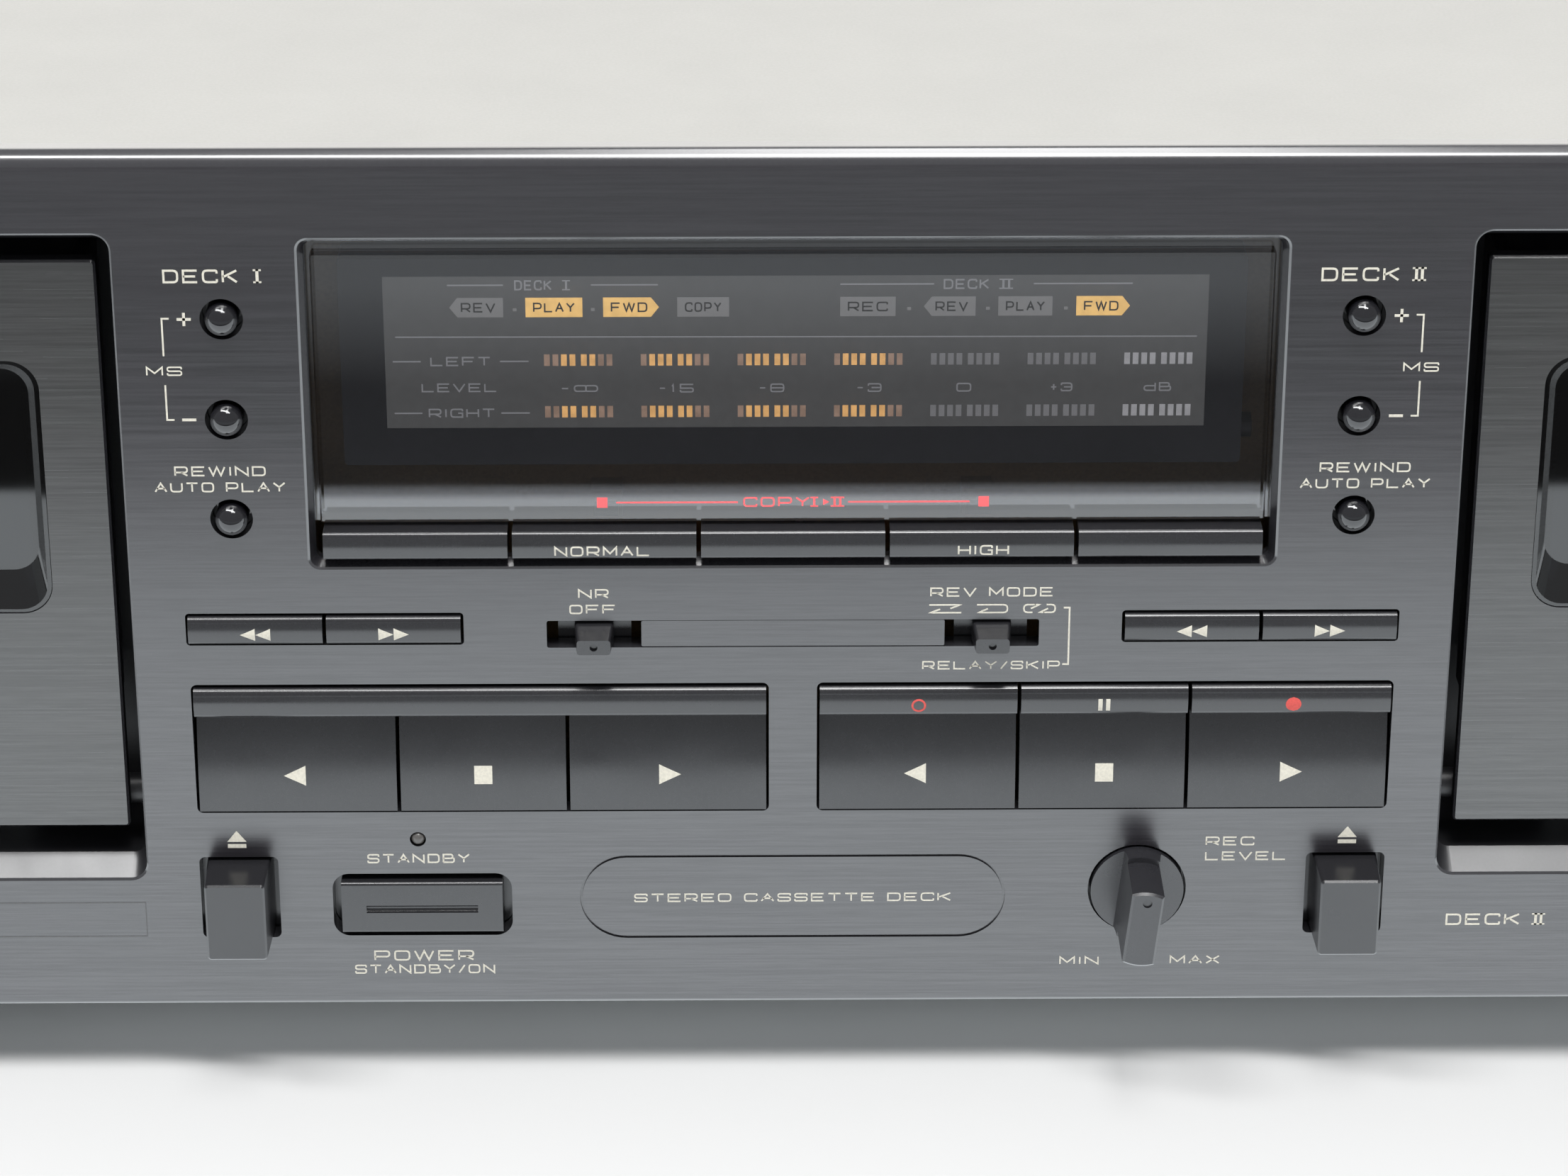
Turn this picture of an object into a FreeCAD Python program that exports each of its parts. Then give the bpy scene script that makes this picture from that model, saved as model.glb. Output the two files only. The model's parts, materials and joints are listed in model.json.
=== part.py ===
import FreeCAD, Part
import math
import os

# Full-width hi-fi cassette duplicator with two decks.
# Millimetres. X to the right, the front panel faces -Y, Z up, the feet stand on Z = 0.
# Places on the front are given as u (right of the centre), v (above the panel's bottom
# edge) and d (behind the panel's face), and at() turns them into X, Y and Z.

V = FreeCAD.Vector
os.makedirs("parts", exist_ok=True)

# Cassette, and the pocket that holds it
cassette_w = 100.4
cassette_h = 63.8
cassette_t = 12.0
pocket_gap = 0.5
seat_v = 39.6
hub_above_seat = 35.0
hub_pitch = 42.5
carrier_t = 1.4
carrier_wall = 1.8
carrier_lip = 4.0
carrier_seat = 9.5
carrier_foot_low = 2.6
carrier_foot_d = 5.0
carrier_top_drop = 1.0
sheet_gap = 0.2

# Doors
door_low = 25.6
door_over_side = 2.1
door_over_top = 1.2
door_face = 2.0
door_t = 2.0
door_edge = 0.3
hinge_d = 6.6
hinge_v = 29.0
hinge_r = 2.0
hinge_fit = 0.08
window_w = 93.2
window_low = 56.4
window_high = 91.2
window_r = 4.0
window_gap = 0.1
window_back = 0.2
glass_low = 61.9
glass_rim = 1.6
glass_set = 1.5

# Deck bays
bay_low = 21.3
bay_wall = 2.0
bay_slope_low = 2.4
bay_slope_high = 1.5
bay_slope_side = 0.4
bay_slope_d = 3.2
bay_mouth_r = 2.2
bay_r = 1.6
door_gap_side = 2.1
door_gap_top = 2.6
mech_gap = 3.5

# Panel sizes that no cassette sets
centre_half = 84.8
panel_margin = 12.6
panel_top = 12.0
foot_h = 10.0
body_depth = 235.0
knob_reach = 11.5
jack_reach = 8.5
face_y = -(body_depth + jack_reach - knob_reach) / 2.0

# What follows from the cassette, from the middle of the panel outwards and up
pocket_half = cassette_w / 2.0 + pocket_gap
pocket_front = door_face + door_t + carrier_t + sheet_gap
pocket_back = pocket_front + cassette_t + pocket_gap
carrier_back = pocket_back + carrier_t
bay_depth = carrier_back + mech_gap
door_half = pocket_half + carrier_wall + door_over_side
door_high = seat_v + cassette_h + door_over_top
bay_half = door_half + door_gap_side - bay_slope_side
bay_mid = centre_half + bay_half
bay_high = door_high + door_gap_top
half_w = bay_mid + bay_half + panel_margin
panel_h = bay_high + panel_top

# Front panel moulding
panel_t = 3.0
rim_depth = 4.0
rim_round = 2.4
rim_wall = 2.6
spigot_len = 6.0
run_gap = 0.35
flange_lip = 0.9
flange_t = 1.0
flange_gap = 0.3

# Sheet metal
cover_t = 0.8
cover_inset = 0.4
cover_bend = 2.2
chassis_t = 1.0
fit_gap = 0.1
rear_lip = 12.0
tray_lip = 14.0

# Tape mechanism
plate_t = 1.5
frame_gap = 11.0
spindle_r = 4.2
spindle_fin = 0.8
spindle_axle = 1.5
axle_fit = 0.05
gear_r = 14.0
gear_tooth = 1.0
gear_teeth = 32
capstan_off = 33.0
capstan_above_seat = 6.5
capstan_r = 1.0
flywheel_r = 19.0
flywheel_t = 5.0
roller_r = 5.5
bridge_travel = 6.0
motor_r = 12.0
motor_len = 20.0
motor_v = 88.0
pulley_r = 3.5
belt_gap = 0.35
belt_t = 1.0

# Display
disp_side = 23.4
disp_half = centre_half - disp_side
disp_low = 63.5
disp_high = bay_high + 0.8
disp_slope = 0.8
disp_slope_d = 1.6
disp_r = 1.4
mouth_edge = 0.2
lens_rim = 1.4
lens_half = disp_half - lens_rim
lens_low = 68.9
lens_high = disp_high - 2.6
lens_set = 2.0
lens_t = 2.0
lens_edge = 0.25
tube_side = 3.0
tube_half = lens_half - tube_side
tube_low = 75.0
tube_high = lens_high - 2.4
tube_t = 6.0
tube_set = 6.4

# Copy row under the display, five caps
copy_count = 5
copy_gap = 0.6
copy_end_gap = 0.125
copy_pitch = (lens_half - copy_end_gap) * 2.0 / copy_count
copy_low = 64.7
copy_high = 68.5
copy_proud = 0.5

# Rewind and wind keys
wind_in = 42.1
wind_side = 7.2
wind_out = centre_half - wind_side
wind_low = 52.7
wind_high = 57.2
wind_proud = 0.8

# Big transport keys
keys_in = 3.1
keys_side = 7.4
keys_out = centre_half - keys_side
key_split_out = 51.15
key_split_in = 29.15
keys_low = 28.6
keys_mid = 42.3
keys_high = 47.1
bar_proud = 0.8
key_dip = 1.7
key_low_gap = 0.2
key_swell = 0.27
key_split_gap = 0.5

# Slide switches
slot_half = 31.5
slot_inner = 19.4
slot_low = 52.2
slot_high = 56.0
slider_w = 5.0
slider_proud = 3.0
slider_wing = 2.2
slider_wing_h = 1.5

# Small round buttons beside the display
dome_side = 13.8
dome_u = centre_half - dome_side
dome_rows = (97.5, 84.0, 70.4)
dome_hole_r = 2.7
dome_r = 2.05
dome_proud = 1.9

# Power button and lamp
power_u = -48.55
power_v = 14.95
power_hole_w = 23.5
power_hole_h = 9.2
power_w = 21.1
power_h = 7.4
power_proud = 1.0
power_groove = 14.6
power_groove_r = 0.55
power_groove_deep = 0.4
lamp_u = -48.9
lamp_v = 24.6
lamp_r = 0.95

# Eject buttons
eject_side = 12.4
eject_u = centre_half - eject_side
eject_low = 10.5
eject_high = 21.6
eject_w = 8.5
eject_taper = 0.36
eject_proud = 6.9
eject_gap = 0.9

# Level knob
knob_u = 45.2
knob_v = 16.9
knob_r = 6.1
knob_gap = 0.35
knob_skirt = 3.0
knob_grip = 4.2
knob_tilt = 6.0
knob_shaft = 3.0

# Rounded outline pressed into the panel
pill_half = 27.9
pill_low = 9.8
pill_high = 22.1
pill_line = 0.35
pill_deep = 0.3

# Control board behind the panel
board_side = 4.8
board_half = centre_half - board_side
board_d = 17.0
board_t = 1.6
switch_h = 4.0
switch_w = 6.0
press = 1.2
press_power = 1.8
press_eject = 2.5
press_gap = 0.3

# Inside the case
main_board_w = 250.0
main_board_d = 130.0
main_board_at = 85.0
main_board_lift = 7.0
main_board_shift = -35.0
post_r = 3.0
trafo_u = half_w - 80.0
trafo_d = body_depth - 50.0
trafo_w = 62.0
trafo_depth = 48.0
trafo_h = 46.0

# Back
jack_u = -half_w + 60.0
jack_v = 62.0
jack_pitch = 16.0
jack_r = 4.15
jack_bore = 1.7
jack_edge = 8.0
jack_neck_r = jack_r - 0.55
jack_neck_out = 0.3
inlet_u = half_w - 50.0
inlet_v = 32.0
inlet_w = 20.0
inlet_h = 12.0

# Feet and screws
foot_r = 14.0
foot_u = half_w - 38.0
foot_front = 32.0
foot_back = body_depth - 35.0
screw_r = 1.5
screw_hole_gap = 0.1
screw_head_r = 3.0
screw_head_h = 1.6
screw_len = 6.0
foot_screw_up = 3.0
side_screw_d = (40.0, body_depth - 40.0)
side_screw_v = 10.0
rear_screw_u = (-half_w + 20.0, 0.0, half_w - 20.0)

# Vent slots in the cover's sides
vent_count = 9
vent_first = 120.0
vent_pitch = 8.0
vent_w = 3.0
vent_low = 45.0
vent_high = 75.0


# Helpers

def at(u, v, d):
    return V(u, face_y + d, foot_h + v)


def block(u0, u1, v0, v1, d0, d1):
    return Part.makeBox(u1 - u0, d1 - d0, v1 - v0, at(u0, v0, d0))


def rod(u, v, r, d0, d1):
    return Part.makeCylinder(r, d1 - d0, at(u, v, d0), V(0, 1, 0))


def post(u, d, r, v0, v1):
    return Part.makeCylinder(r, v1 - v0, at(u, v0, d), V(0, 0, 1))


def cross_rod(u0, u1, v, d, r):
    return Part.makeCylinder(r, u1 - u0, at(u0, v, d), V(1, 0, 0))


def rounded_wire(u0, u1, v0, v1, r, d):
    s = r * (1.0 - math.sqrt(0.5))
    corners = [
        ((u0 + r, v0), (u1 - r, v0), (u1 - s, v0 + s), (u1, v0 + r)),
        ((u1, v0 + r), (u1, v1 - r), (u1 - s, v1 - s), (u1 - r, v1)),
        ((u1 - r, v1), (u0 + r, v1), (u0 + s, v1 - s), (u0, v1 - r)),
        ((u0, v1 - r), (u0, v0 + r), (u0 + s, v0 + s), (u0 + r, v0)),
    ]
    edges = []
    for a, b, m, c in corners:
        if math.dist(a, b) > 1e-6:
            edges.append(Part.makeLine(at(*a, d), at(*b, d)))
        edges.append(Part.Arc(at(*b, d), at(*m, d), at(*c, d)).toShape())
    return Part.Wire(edges)


def tile(u0, u1, v0, v1, r, d0, d1):
    return Part.Face(rounded_wire(u0, u1, v0, v1, r, d0)).extrude(V(0, d1 - d0, 0))


def funnel(front, back):
    return Part.makeLoft([rounded_wire(*front), rounded_wire(*back)], True, True)


def section_wire(points, place):
    # Each step is a corner, or an arc given by its middle and its end.
    start = points[0]
    edges = []
    here = start
    for step in points[1:] + [start]:
        if isinstance(step[0], tuple):
            edges.append(Part.Arc(place(*here), place(*step[0]), place(*step[1])).toShape())
            here = step[1]
        else:
            if math.dist(here, step) > 1e-6:
                edges.append(Part.makeLine(place(*here), place(*step)))
            here = step
    return Part.Wire(edges)


def bar(points, u0, u1):
    # A section in d and v, pushed along X.
    return Part.Face(section_wire(points, lambda d, v: at(u0, v, d))).extrude(V(u1 - u0, 0, 0))


def fuse(pieces):
    whole = pieces[0].multiFuse(pieces[1:]) if len(pieces) > 1 else pieces[0]
    return whole.removeSplitter()


def cut(whole, tools):
    return whole.cut(tools).removeSplitter()


def mirrored(shape, side):
    return shape if side > 0 else shape.mirror(V(0, 0, 0), V(1, 0, 0))


def save(name, shape):
    solids = shape.Solids
    result = solids[0] if len(solids) == 1 else Part.makeCompound(solids)
    for solid in solids:
        if not solid.isValid() or solid.Volume <= 0:
            raise ValueError("bad solid in " + name)
    result.exportStep("parts/" + name + ".step")
    print(name, len(solids), round(sum(s.Volume for s in solids) / 1000.0, 2), "cm3")


def edges_near(shape, test):
    return [e for e in shape.Edges if all(test(v.Point) for v in e.Vertexes)]


# More places worked out from the sizes above

panel_back = panel_t
flange_d = panel_back + flange_gap
case_back = body_depth
hub_v = seat_v + hub_above_seat
capstan_v = seat_v + capstan_above_seat
plate_front = bay_depth
plate_back = bay_depth + plate_t
rear_plate = plate_back + frame_gap
board_front = board_d
switch_face = board_front - switch_h


def stem_end(travel):
    return switch_face - travel - press_gap


def bent_sheet(grow, low, d0, d1):
    # The space inside the cover's bends: a block with its two top edges rounded.
    x = half_w - cover_inset - grow
    top = panel_h - cover_inset - grow
    r = cover_bend - grow
    k = r * (1.0 - math.sqrt(0.5))
    outline = [(-x, low), (-x, top - r), ((-x + k, top - k), (-x + r, top)),
               (x - r, top), ((x - k, top - k), (x, top - r)), (x, low)]
    wire = section_wire(outline, lambda u, v: at(u, v, d0))
    return Part.Face(wire).extrude(V(0, d1 - d0, 0))


def under_cover(d0, d1):
    return bent_sheet(cover_t + fit_gap, chassis_t, d0, d1)


# Front panel

def panel_body():
    r = rim_round
    k = r * (1.0 - math.sqrt(0.5))
    low = 0.8
    kl = low * (1.0 - math.sqrt(0.5))
    shell = bar([(rim_depth, 0.0), (low, 0.0), ((kl, kl), (0.0, low)), (0.0, panel_h - r),
                 ((k, panel_h - k), (r, panel_h)), (rim_depth, panel_h)], -half_w, half_w)
    ends = edges_near(shell, lambda p: abs(abs(p.x) - half_w) < 1e-4 and p.y < face_y + 1e-4)
    shell = shell.makeFillet(0.8, ends)
    inset = cover_inset + cover_t + fit_gap
    spigot = under_cover(rim_depth - 1.0, rim_depth + spigot_len)
    whole = shell.fuse(spigot)
    inside = block(-half_w + inset + rim_wall, half_w - inset - rim_wall,
                   chassis_t + rim_wall, panel_h - inset - rim_wall,
                   panel_back, rim_depth + spigot_len + 1.0)
    return whole.cut(inside)


def bay_walls(side):
    u0 = bay_mid - bay_half - bay_wall
    u1 = bay_mid + bay_half + bay_wall
    walls = block(u0, u1, bay_low - bay_wall, bay_high + bay_wall, panel_back - 0.5, bay_depth)
    return mirrored(walls, side)


def eased_mouth(front, back):
    # A sloping opening whose front edge is broken at about 45 degrees.
    e = mouth_edge
    ring = tuple(a + (b - a) * e / back[5] for a, b in zip(front, back))
    u0, u1, v0, v1, r, d = front
    wide = (u0 - e, u1 + e, v0 - e, v1 + e, r + e, d)
    mouth = tile(*wide[:5], -1.0, 0.0)
    return mouth.fuse(funnel(wide, ring)).fuse(funnel(ring, back))


def bay_cut(side):
    u0 = bay_mid - bay_half
    u1 = bay_mid + bay_half
    front = (u0 - bay_slope_side, u1 + bay_slope_side, bay_low - bay_slope_low,
             bay_high + bay_slope_high, bay_mouth_r, 0.0)
    back = (u0, u1, bay_low, bay_high, bay_r, bay_slope_d)
    through = tile(*back[:5], bay_slope_d, bay_depth + 1.0)
    whole = eased_mouth(front, back).fuse(through)
    hinge_hole = cross_rod(u0 - bay_wall - 1.0, u1 + bay_wall + 1.0, hinge_v, hinge_d,
                           hinge_r + hinge_fit)
    return mirrored(whole.fuse(hinge_hole), side)


def display_cut():
    s = disp_slope
    front = (-disp_half, disp_half, disp_low, disp_high, disp_r, 0.0)
    back = (-disp_half + s, disp_half - s, disp_low + s, disp_high - s, disp_r - 0.5,
            disp_slope_d)
    through = tile(*back[:5], disp_slope_d, panel_back + 1.0)
    return eased_mouth(front, back).fuse(through)


def hole(u0, u1, v0, v1, r):
    return tile(u0, u1, v0, v1, r, -1.0, panel_back + 1.0)


def keys_hole(side):
    return mirrored(hole(keys_in, keys_out, keys_low, keys_high, 0.8), side)


def wind_hole(side):
    return mirrored(hole(wind_in, wind_out, wind_low, wind_high, 0.5), side)


def eject_hole(side):
    half = eject_w / 2.0 + eject_gap
    return mirrored(hole(eject_u - half, eject_u + half, eject_low - run_gap,
                         eject_high + 0.5, 0.8), side)


def pill_cut():
    r = (pill_high - pill_low) / 2.0
    outer = tile(-pill_half, pill_half, pill_low, pill_high, r - 0.01, -1.0, pill_deep)
    w = pill_line
    inner = tile(-pill_half + w, pill_half - w, pill_low + w, pill_high - w,
                 r - w - 0.01, -2.0, pill_deep + 1.0)
    return outer.cut(inner)


def board_posts():
    posts = []
    for u in (-board_half + 4.0, board_half - 4.0):
        for v in (panel_h - 8.0, chassis_t + rim_wall + 2.0):
            posts.append(rod(u, v, 2.5, panel_back - 0.5, board_front))
    return posts


def front_panel():
    whole = fuse([panel_body(), bay_walls(1), bay_walls(-1)] + board_posts())
    tools = [display_cut(), pill_cut(), hole(-slot_half, slot_half, slot_low, slot_high, 0.3),
             rod(knob_u, knob_v, knob_r + knob_gap, -1.0, panel_back + 1.0),
             rod(lamp_u, lamp_v, lamp_r + fit_gap, -1.0, panel_back + 1.0),
             hole(power_u - power_hole_w / 2.0, power_u + power_hole_w / 2.0,
                  power_v - power_hole_h / 2.0, power_v + power_hole_h / 2.0, 2.2)]
    for side in (1, -1):
        tools += [bay_cut(side), keys_hole(side), wind_hole(side), eject_hole(side)]
        for v in dome_rows:
            tools.append(rod(side * dome_u, v, dome_hole_r, -1.0, panel_back + 1.0))
    return cut(whole, tools)


# Caps and keys

def cap_section(low, high, proud, back, curve):
    # A bar with a rounded nose: flat underneath and on top, crowned in front.
    r = curve
    k = r * (1.0 - math.sqrt(0.5))
    mid = (low + high) / 2.0
    crown = 0.15
    return [(back, low), (-proud + r, low), ((-proud + k, low + k), (-proud, low + r)),
            ((-proud - crown, mid), (-proud, high - r)),
            ((-proud + k, high - k), (-proud + r, high)), (back, high)]


def cap(u0, u1, low, high, proud, back, curve=0.7):
    return bar(cap_section(low, high, proud, back, curve), u0, u1)


def key_with_stem(face, u, v, w, h, travel):
    # The moving part behind the panel: a flange that stops it and a stem for its switch.
    lip = block(u - w / 2.0, u + w / 2.0, v - h / 2.0, v + h / 2.0,
                flange_d, flange_d + flange_t)
    stem = block(u - 1.5, u + 1.5, v - 1.0, v + 1.0, flange_d, stem_end(travel))
    return fuse([face, lip, stem])


def copy_span(index):
    left = -copy_pitch * copy_count / 2.0 + index * copy_pitch
    return left + copy_gap / 2.0, left + copy_pitch - copy_gap / 2.0


def copy_cap(index):
    u0, u1 = copy_span(index)
    return cap(u0, u1, copy_low, copy_high, copy_proud, flange_d + flange_t)


def copy_key(index):
    u0, u1 = copy_span(index)
    v = (copy_low + copy_high) / 2.0
    h = copy_high - copy_low
    return key_with_stem(copy_cap(index), (u0 + u1) / 2.0, v, 12.0, h, press)


def key_spans():
    g = key_split_gap / 2.0
    return ((keys_in + run_gap, key_split_in - g),
            (key_split_in + g, key_split_out - g),
            (key_split_out + g, keys_out - run_gap))


def top_cap(u0, u1):
    return cap(u0, u1, keys_mid + 0.2, keys_high - 0.45, bar_proud, flange_d + flange_t, 0.9)


def top_key(u0, u1):
    v = (keys_mid + keys_high) / 2.0
    return key_with_stem(top_cap(u0, u1), (u0 + u1) / 2.0, v, 14.0, 3.6, press)


def big_key(u0, u1):
    low = keys_low + key_low_gap
    high = keys_mid - 0.15
    mid = (low + high) / 2.0
    back = flange_d + flange_t
    section = [(back, low), (0.0, low), ((key_dip * key_swell, mid), (key_dip, high)), (back, high)]
    face = bar(section, u0, u1)
    return key_with_stem(face, (u0 + u1) / 2.0, mid, u1 - u0, high - low, press)


def wind_spans():
    middle = (wind_in + wind_out) / 2.0
    g = key_split_gap / 2.0
    return ((wind_in + run_gap, middle - g), (middle + g, wind_out - run_gap))


def wind_key(u0, u1):
    v = (wind_low + wind_high) / 2.0
    face = cap(u0, u1, wind_low + run_gap, wind_high - run_gap, wind_proud,
               flange_d + flange_t)
    return key_with_stem(face, (u0 + u1) / 2.0, v, u1 - u0, wind_high - wind_low, press)


def dome_button(u, v):
    ball_r = dome_r * 1.06
    centre = -dome_proud + ball_r
    post_part = rod(u, v, dome_r, centre, flange_d)
    ball = Part.makeSphere(ball_r, at(u, v, centre))
    ball = ball.common(rod(u, v, dome_r, -dome_proud - 1.0, centre + 0.5))
    lip = rod(u, v, dome_hole_r + flange_lip, flange_d, flange_d + flange_t)
    stem = rod(u, v, 1.2, flange_d, stem_end(press))
    return fuse([post_part, ball, lip, stem])


def power_button():
    u0 = power_u - power_w / 2.0
    u1 = power_u + power_w / 2.0
    v0 = power_v - power_h / 2.0
    v1 = power_v + power_h / 2.0
    face = bar(cap_section(v0, v1, power_proud, flange_d + flange_t, 0.45), u0, u1)
    half = power_groove / 2.0
    r = power_groove_r
    groove = cross_rod(power_u - half, power_u + half, power_v - 0.1,
                       -power_proud - r + power_groove_deep, r)
    face = face.cut(groove)
    v = power_v
    lip = block(u0 - 2.6, u1 + 2.6, v0 - 1.8, v1 + 1.8, flange_d, flange_d + flange_t)
    stem = block(power_u - 3.0, power_u + 3.0, v - 2.0, v + 2.0, flange_d,
                 stem_end(press_power))
    return fuse([face, lip, stem])


def eject_button(side):
    half = eject_w / 2.0
    root = (eject_u - half, eject_u + half, eject_low, eject_high, 0.5, flange_d)
    tip_half = half - eject_taper
    tip = (eject_u - tip_half, eject_u + tip_half, eject_low, eject_high - 0.1, 0.5,
           -eject_proud)
    body = funnel(tip, root)
    front = edges_near(body, lambda p: abs(p.y - face_y + eject_proud) < 1e-4)
    body = body.makeChamfer(0.25, front)
    lip = block(eject_u - half - 1.9, eject_u + half + 1.9, eject_low - 1.2,
                eject_high + 1.6, flange_d, flange_d + flange_t)
    v = (eject_low + eject_high) / 2.0
    stem = block(eject_u - 1.5, eject_u + 1.5, v - 1.5, v + 1.5, flange_d,
                 stem_end(press_eject))
    return mirrored(fuse([body, lip, stem]), side)


def slider(side):
    u = side * (slot_half + slot_inner) / 2.0
    v = (slot_low + slot_high) / 2.0
    half_h = (slot_high - slot_low) / 2.0 - run_gap
    w = slider_w / 2.0
    tip_w = w * 0.86
    thumb = Part.makeLoft([rounded_wire(u - tip_w, u + tip_w, v - half_h, v + half_h * 0.3,
                                        0.4, -slider_proud),
                           rounded_wire(u - w, u + w, v - half_h, v + half_h, 0.4, 0.6)],
                          True, True)
    notch = rod(u, v - half_h * 0.35, 0.5, -slider_proud - 0.5, -slider_proud + 0.5)
    body = tile(u - w, u + w, v - half_h, v + half_h, 0.4, 0.6, flange_d)
    wing = block(u - w - slider_wing, u + w + slider_wing, slot_low - slider_wing_h,
                 slot_high + slider_wing_h, flange_d, flange_d + flange_t)
    stem = block(u - 1.2, u + 1.2, v - 1.0, v + 1.0, flange_d, switch_face - press_gap)
    return fuse([thumb.cut(notch), body, wing, stem])


def level_knob():
    grip_half = knob_grip / 2.0
    skirt = rod(knob_u, knob_v, knob_r, -knob_skirt, flange_d)
    grip = rod(knob_u, knob_v, knob_r - 0.7, -knob_reach, 0.0)
    slab = block(knob_u - grip_half, knob_u + grip_half, knob_v - knob_r - 1.0,
                 knob_v + knob_r + 1.0, -knob_reach - 1.0, 1.0)
    grip = grip.common(slab)
    rim = edges_near(grip, lambda p: abs(p.y - face_y + knob_reach) < 1e-4)
    grip = grip.makeChamfer(0.3, rim)
    scoops = []
    scoop_r = knob_r * 1.5
    for s in (1, -1):
        centre = at(knob_u + s * (grip_half + scoop_r), knob_v + knob_r * 3.0, -knob_skirt)
        scoops.append(Part.makeCylinder(scoop_r, knob_r * 6.0, centre, V(0, 0, -1)))
    scoop_depth = block(knob_u - knob_r - 1.0, knob_u + knob_r + 1.0, knob_v - knob_r - 1.0,
                        knob_v + knob_r + 1.0, -knob_skirt - 1.0, -0.6)
    skirt = skirt.cut([s.common(scoop_depth) for s in scoops])
    dimple = rod(knob_u, knob_v + knob_r - 2.2, 0.6, -knob_reach - 1.0, -knob_reach + 0.3)
    lip = rod(knob_u, knob_v, knob_r + knob_gap + flange_lip, flange_d, flange_d + flange_t)
    shaft = rod(knob_u, knob_v, knob_shaft, flange_d, board_front - 1.0)
    knob = fuse([skirt, grip.cut(dimple), lip, shaft])
    knob.rotate(at(knob_u, knob_v, 0.0), V(0, 1, 0), knob_tilt)
    return knob


def slot_filler():
    g = fit_gap
    return tile(-slot_inner, slot_inner, slot_low + g, slot_high - g, 0.2, 0.1, panel_back)


def trim_caps():
    caps = [copy_cap(i) for i in range(copy_count) if i % 2 == 0]
    spans = key_spans()
    caps.append(mirrored(top_cap(spans[0][0], spans[2][1]), -1))
    caps.append(slot_filler())
    return Part.makeCompound(caps)


def standby_lamp():
    ball = Part.makeSphere(lamp_r, at(lamp_u, lamp_v, lamp_r * 0.7))
    tube = rod(lamp_u, lamp_v, lamp_r, lamp_r * 0.7, board_front - 0.2)
    return fuse([ball, tube])


# Display

def display_lens():
    plate = tile(-lens_half, lens_half, lens_low, lens_high, 0.4, lens_set, lens_set + lens_t)
    edge = edges_near(plate, lambda p: abs(p.y - face_y - lens_set) < 1e-4)
    plate = plate.makeChamfer(lens_edge, edge)
    rim = block(-disp_half - 1.0, disp_half + 1.0, lens_low, disp_high + 0.9,
                panel_back, panel_back + 1.0)
    return fuse([plate, rim])


def display_tube():
    glass = tile(-tube_half, tube_half, tube_low, tube_high, 0.6, tube_set, tube_set + tube_t)
    tip = cross_rod(tube_half - 0.5, tube_half + 1.5, tube_low + 4.0, tube_set + tube_t / 2.0,
                    1.6)
    legs = []
    for v in (tube_low + 1.0, tube_high - 2.0):
        legs.append(block(-tube_half + 4.0, tube_half - 4.0, v, v + 1.0,
                          tube_set + tube_t - 0.5, board_front))
    return fuse([glass, tip] + legs)


# Doors

def window_hole(grow, d0, d1):
    half = window_w / 2.0 + grow
    return tile(bay_mid - half, bay_mid + half, window_low - grow, window_high + grow,
                window_r + grow, d0, d1)


def door_panel(side):
    plate = tile(bay_mid - door_half, bay_mid + door_half, door_low, door_high, 0.6,
                 door_face, door_face + door_t)
    edge = edges_near(plate, lambda p: abs(p.y - face_y - door_face) < 1e-4)
    plate = plate.makeChamfer(door_edge, edge)
    return mirrored(plate.cut(window_hole(0.0, 0.0, 10.0)), side)


def door_window(side):
    d0 = door_face
    d1 = door_face + door_t
    body = window_hole(-window_gap, d0 + window_back, d1)
    half = window_w / 2.0 - glass_rim
    r = window_r - 0.6
    front = (bay_mid - half - glass_rim * 0.6, bay_mid + half + glass_rim * 0.6,
             window_low + 0.5, window_high - 0.5, r + 0.2, d0 + window_back)
    back = (bay_mid - half, bay_mid + half, glass_low, window_high - glass_rim, r,
            d0 + glass_set)
    dish = funnel(front, back)
    return mirrored(body.cut(dish), side)


def carrier(side):
    front = door_face + door_t
    half = pocket_half + carrier_wall
    top = seat_v + cassette_h - carrier_top_drop
    foot = hinge_v - carrier_foot_low
    sheet = block(bay_mid - half, bay_mid + half, foot, top, front, front + carrier_t)
    sheet = sheet.cut(window_hole(-2.5, 0.0, 30.0))
    under = seat_v - carrier_t
    foot_d = hinge_d + carrier_foot_d
    outline = [(front, foot), (foot_d, foot), (foot_d, under), (carrier_back, under),
               (carrier_back, top), (front, top)]
    pieces = [sheet]
    for s in (1, -1):
        wall_in = bay_mid + s * pocket_half
        wall_out = bay_mid + s * half
        pieces.append(bar(outline, *sorted((wall_in, wall_out))))
        lip = sorted((wall_in - s * carrier_lip, wall_in + s * 0.5))
        pieces.append(block(*lip, under, top, pocket_back, carrier_back))
        seat = sorted((wall_in - s * carrier_seat, wall_in + s * 0.5))
        pieces.append(block(*seat, under, seat_v, front, carrier_back))
        pin = sorted((wall_in + s * 0.4, bay_mid + s * (bay_half + bay_wall * 0.7)))
        pieces.append(cross_rod(*pin, hinge_v, hinge_d, hinge_r))
    return mirrored(fuse(pieces), side)


# Tape mechanism, per deck

def gear_wire(u, v, d):
    steps = []
    for i in range(gear_teeth):
        for share, r in ((0.0, gear_r - gear_tooth), (0.3, gear_r), (0.55, gear_r),
                         (0.85, gear_r - gear_tooth)):
            a = 2.0 * math.pi * (i + share) / gear_teeth
            steps.append(at(u + r * math.cos(a), v + r * math.sin(a), d))
    return Part.makePolygon(steps + [steps[0]])


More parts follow.
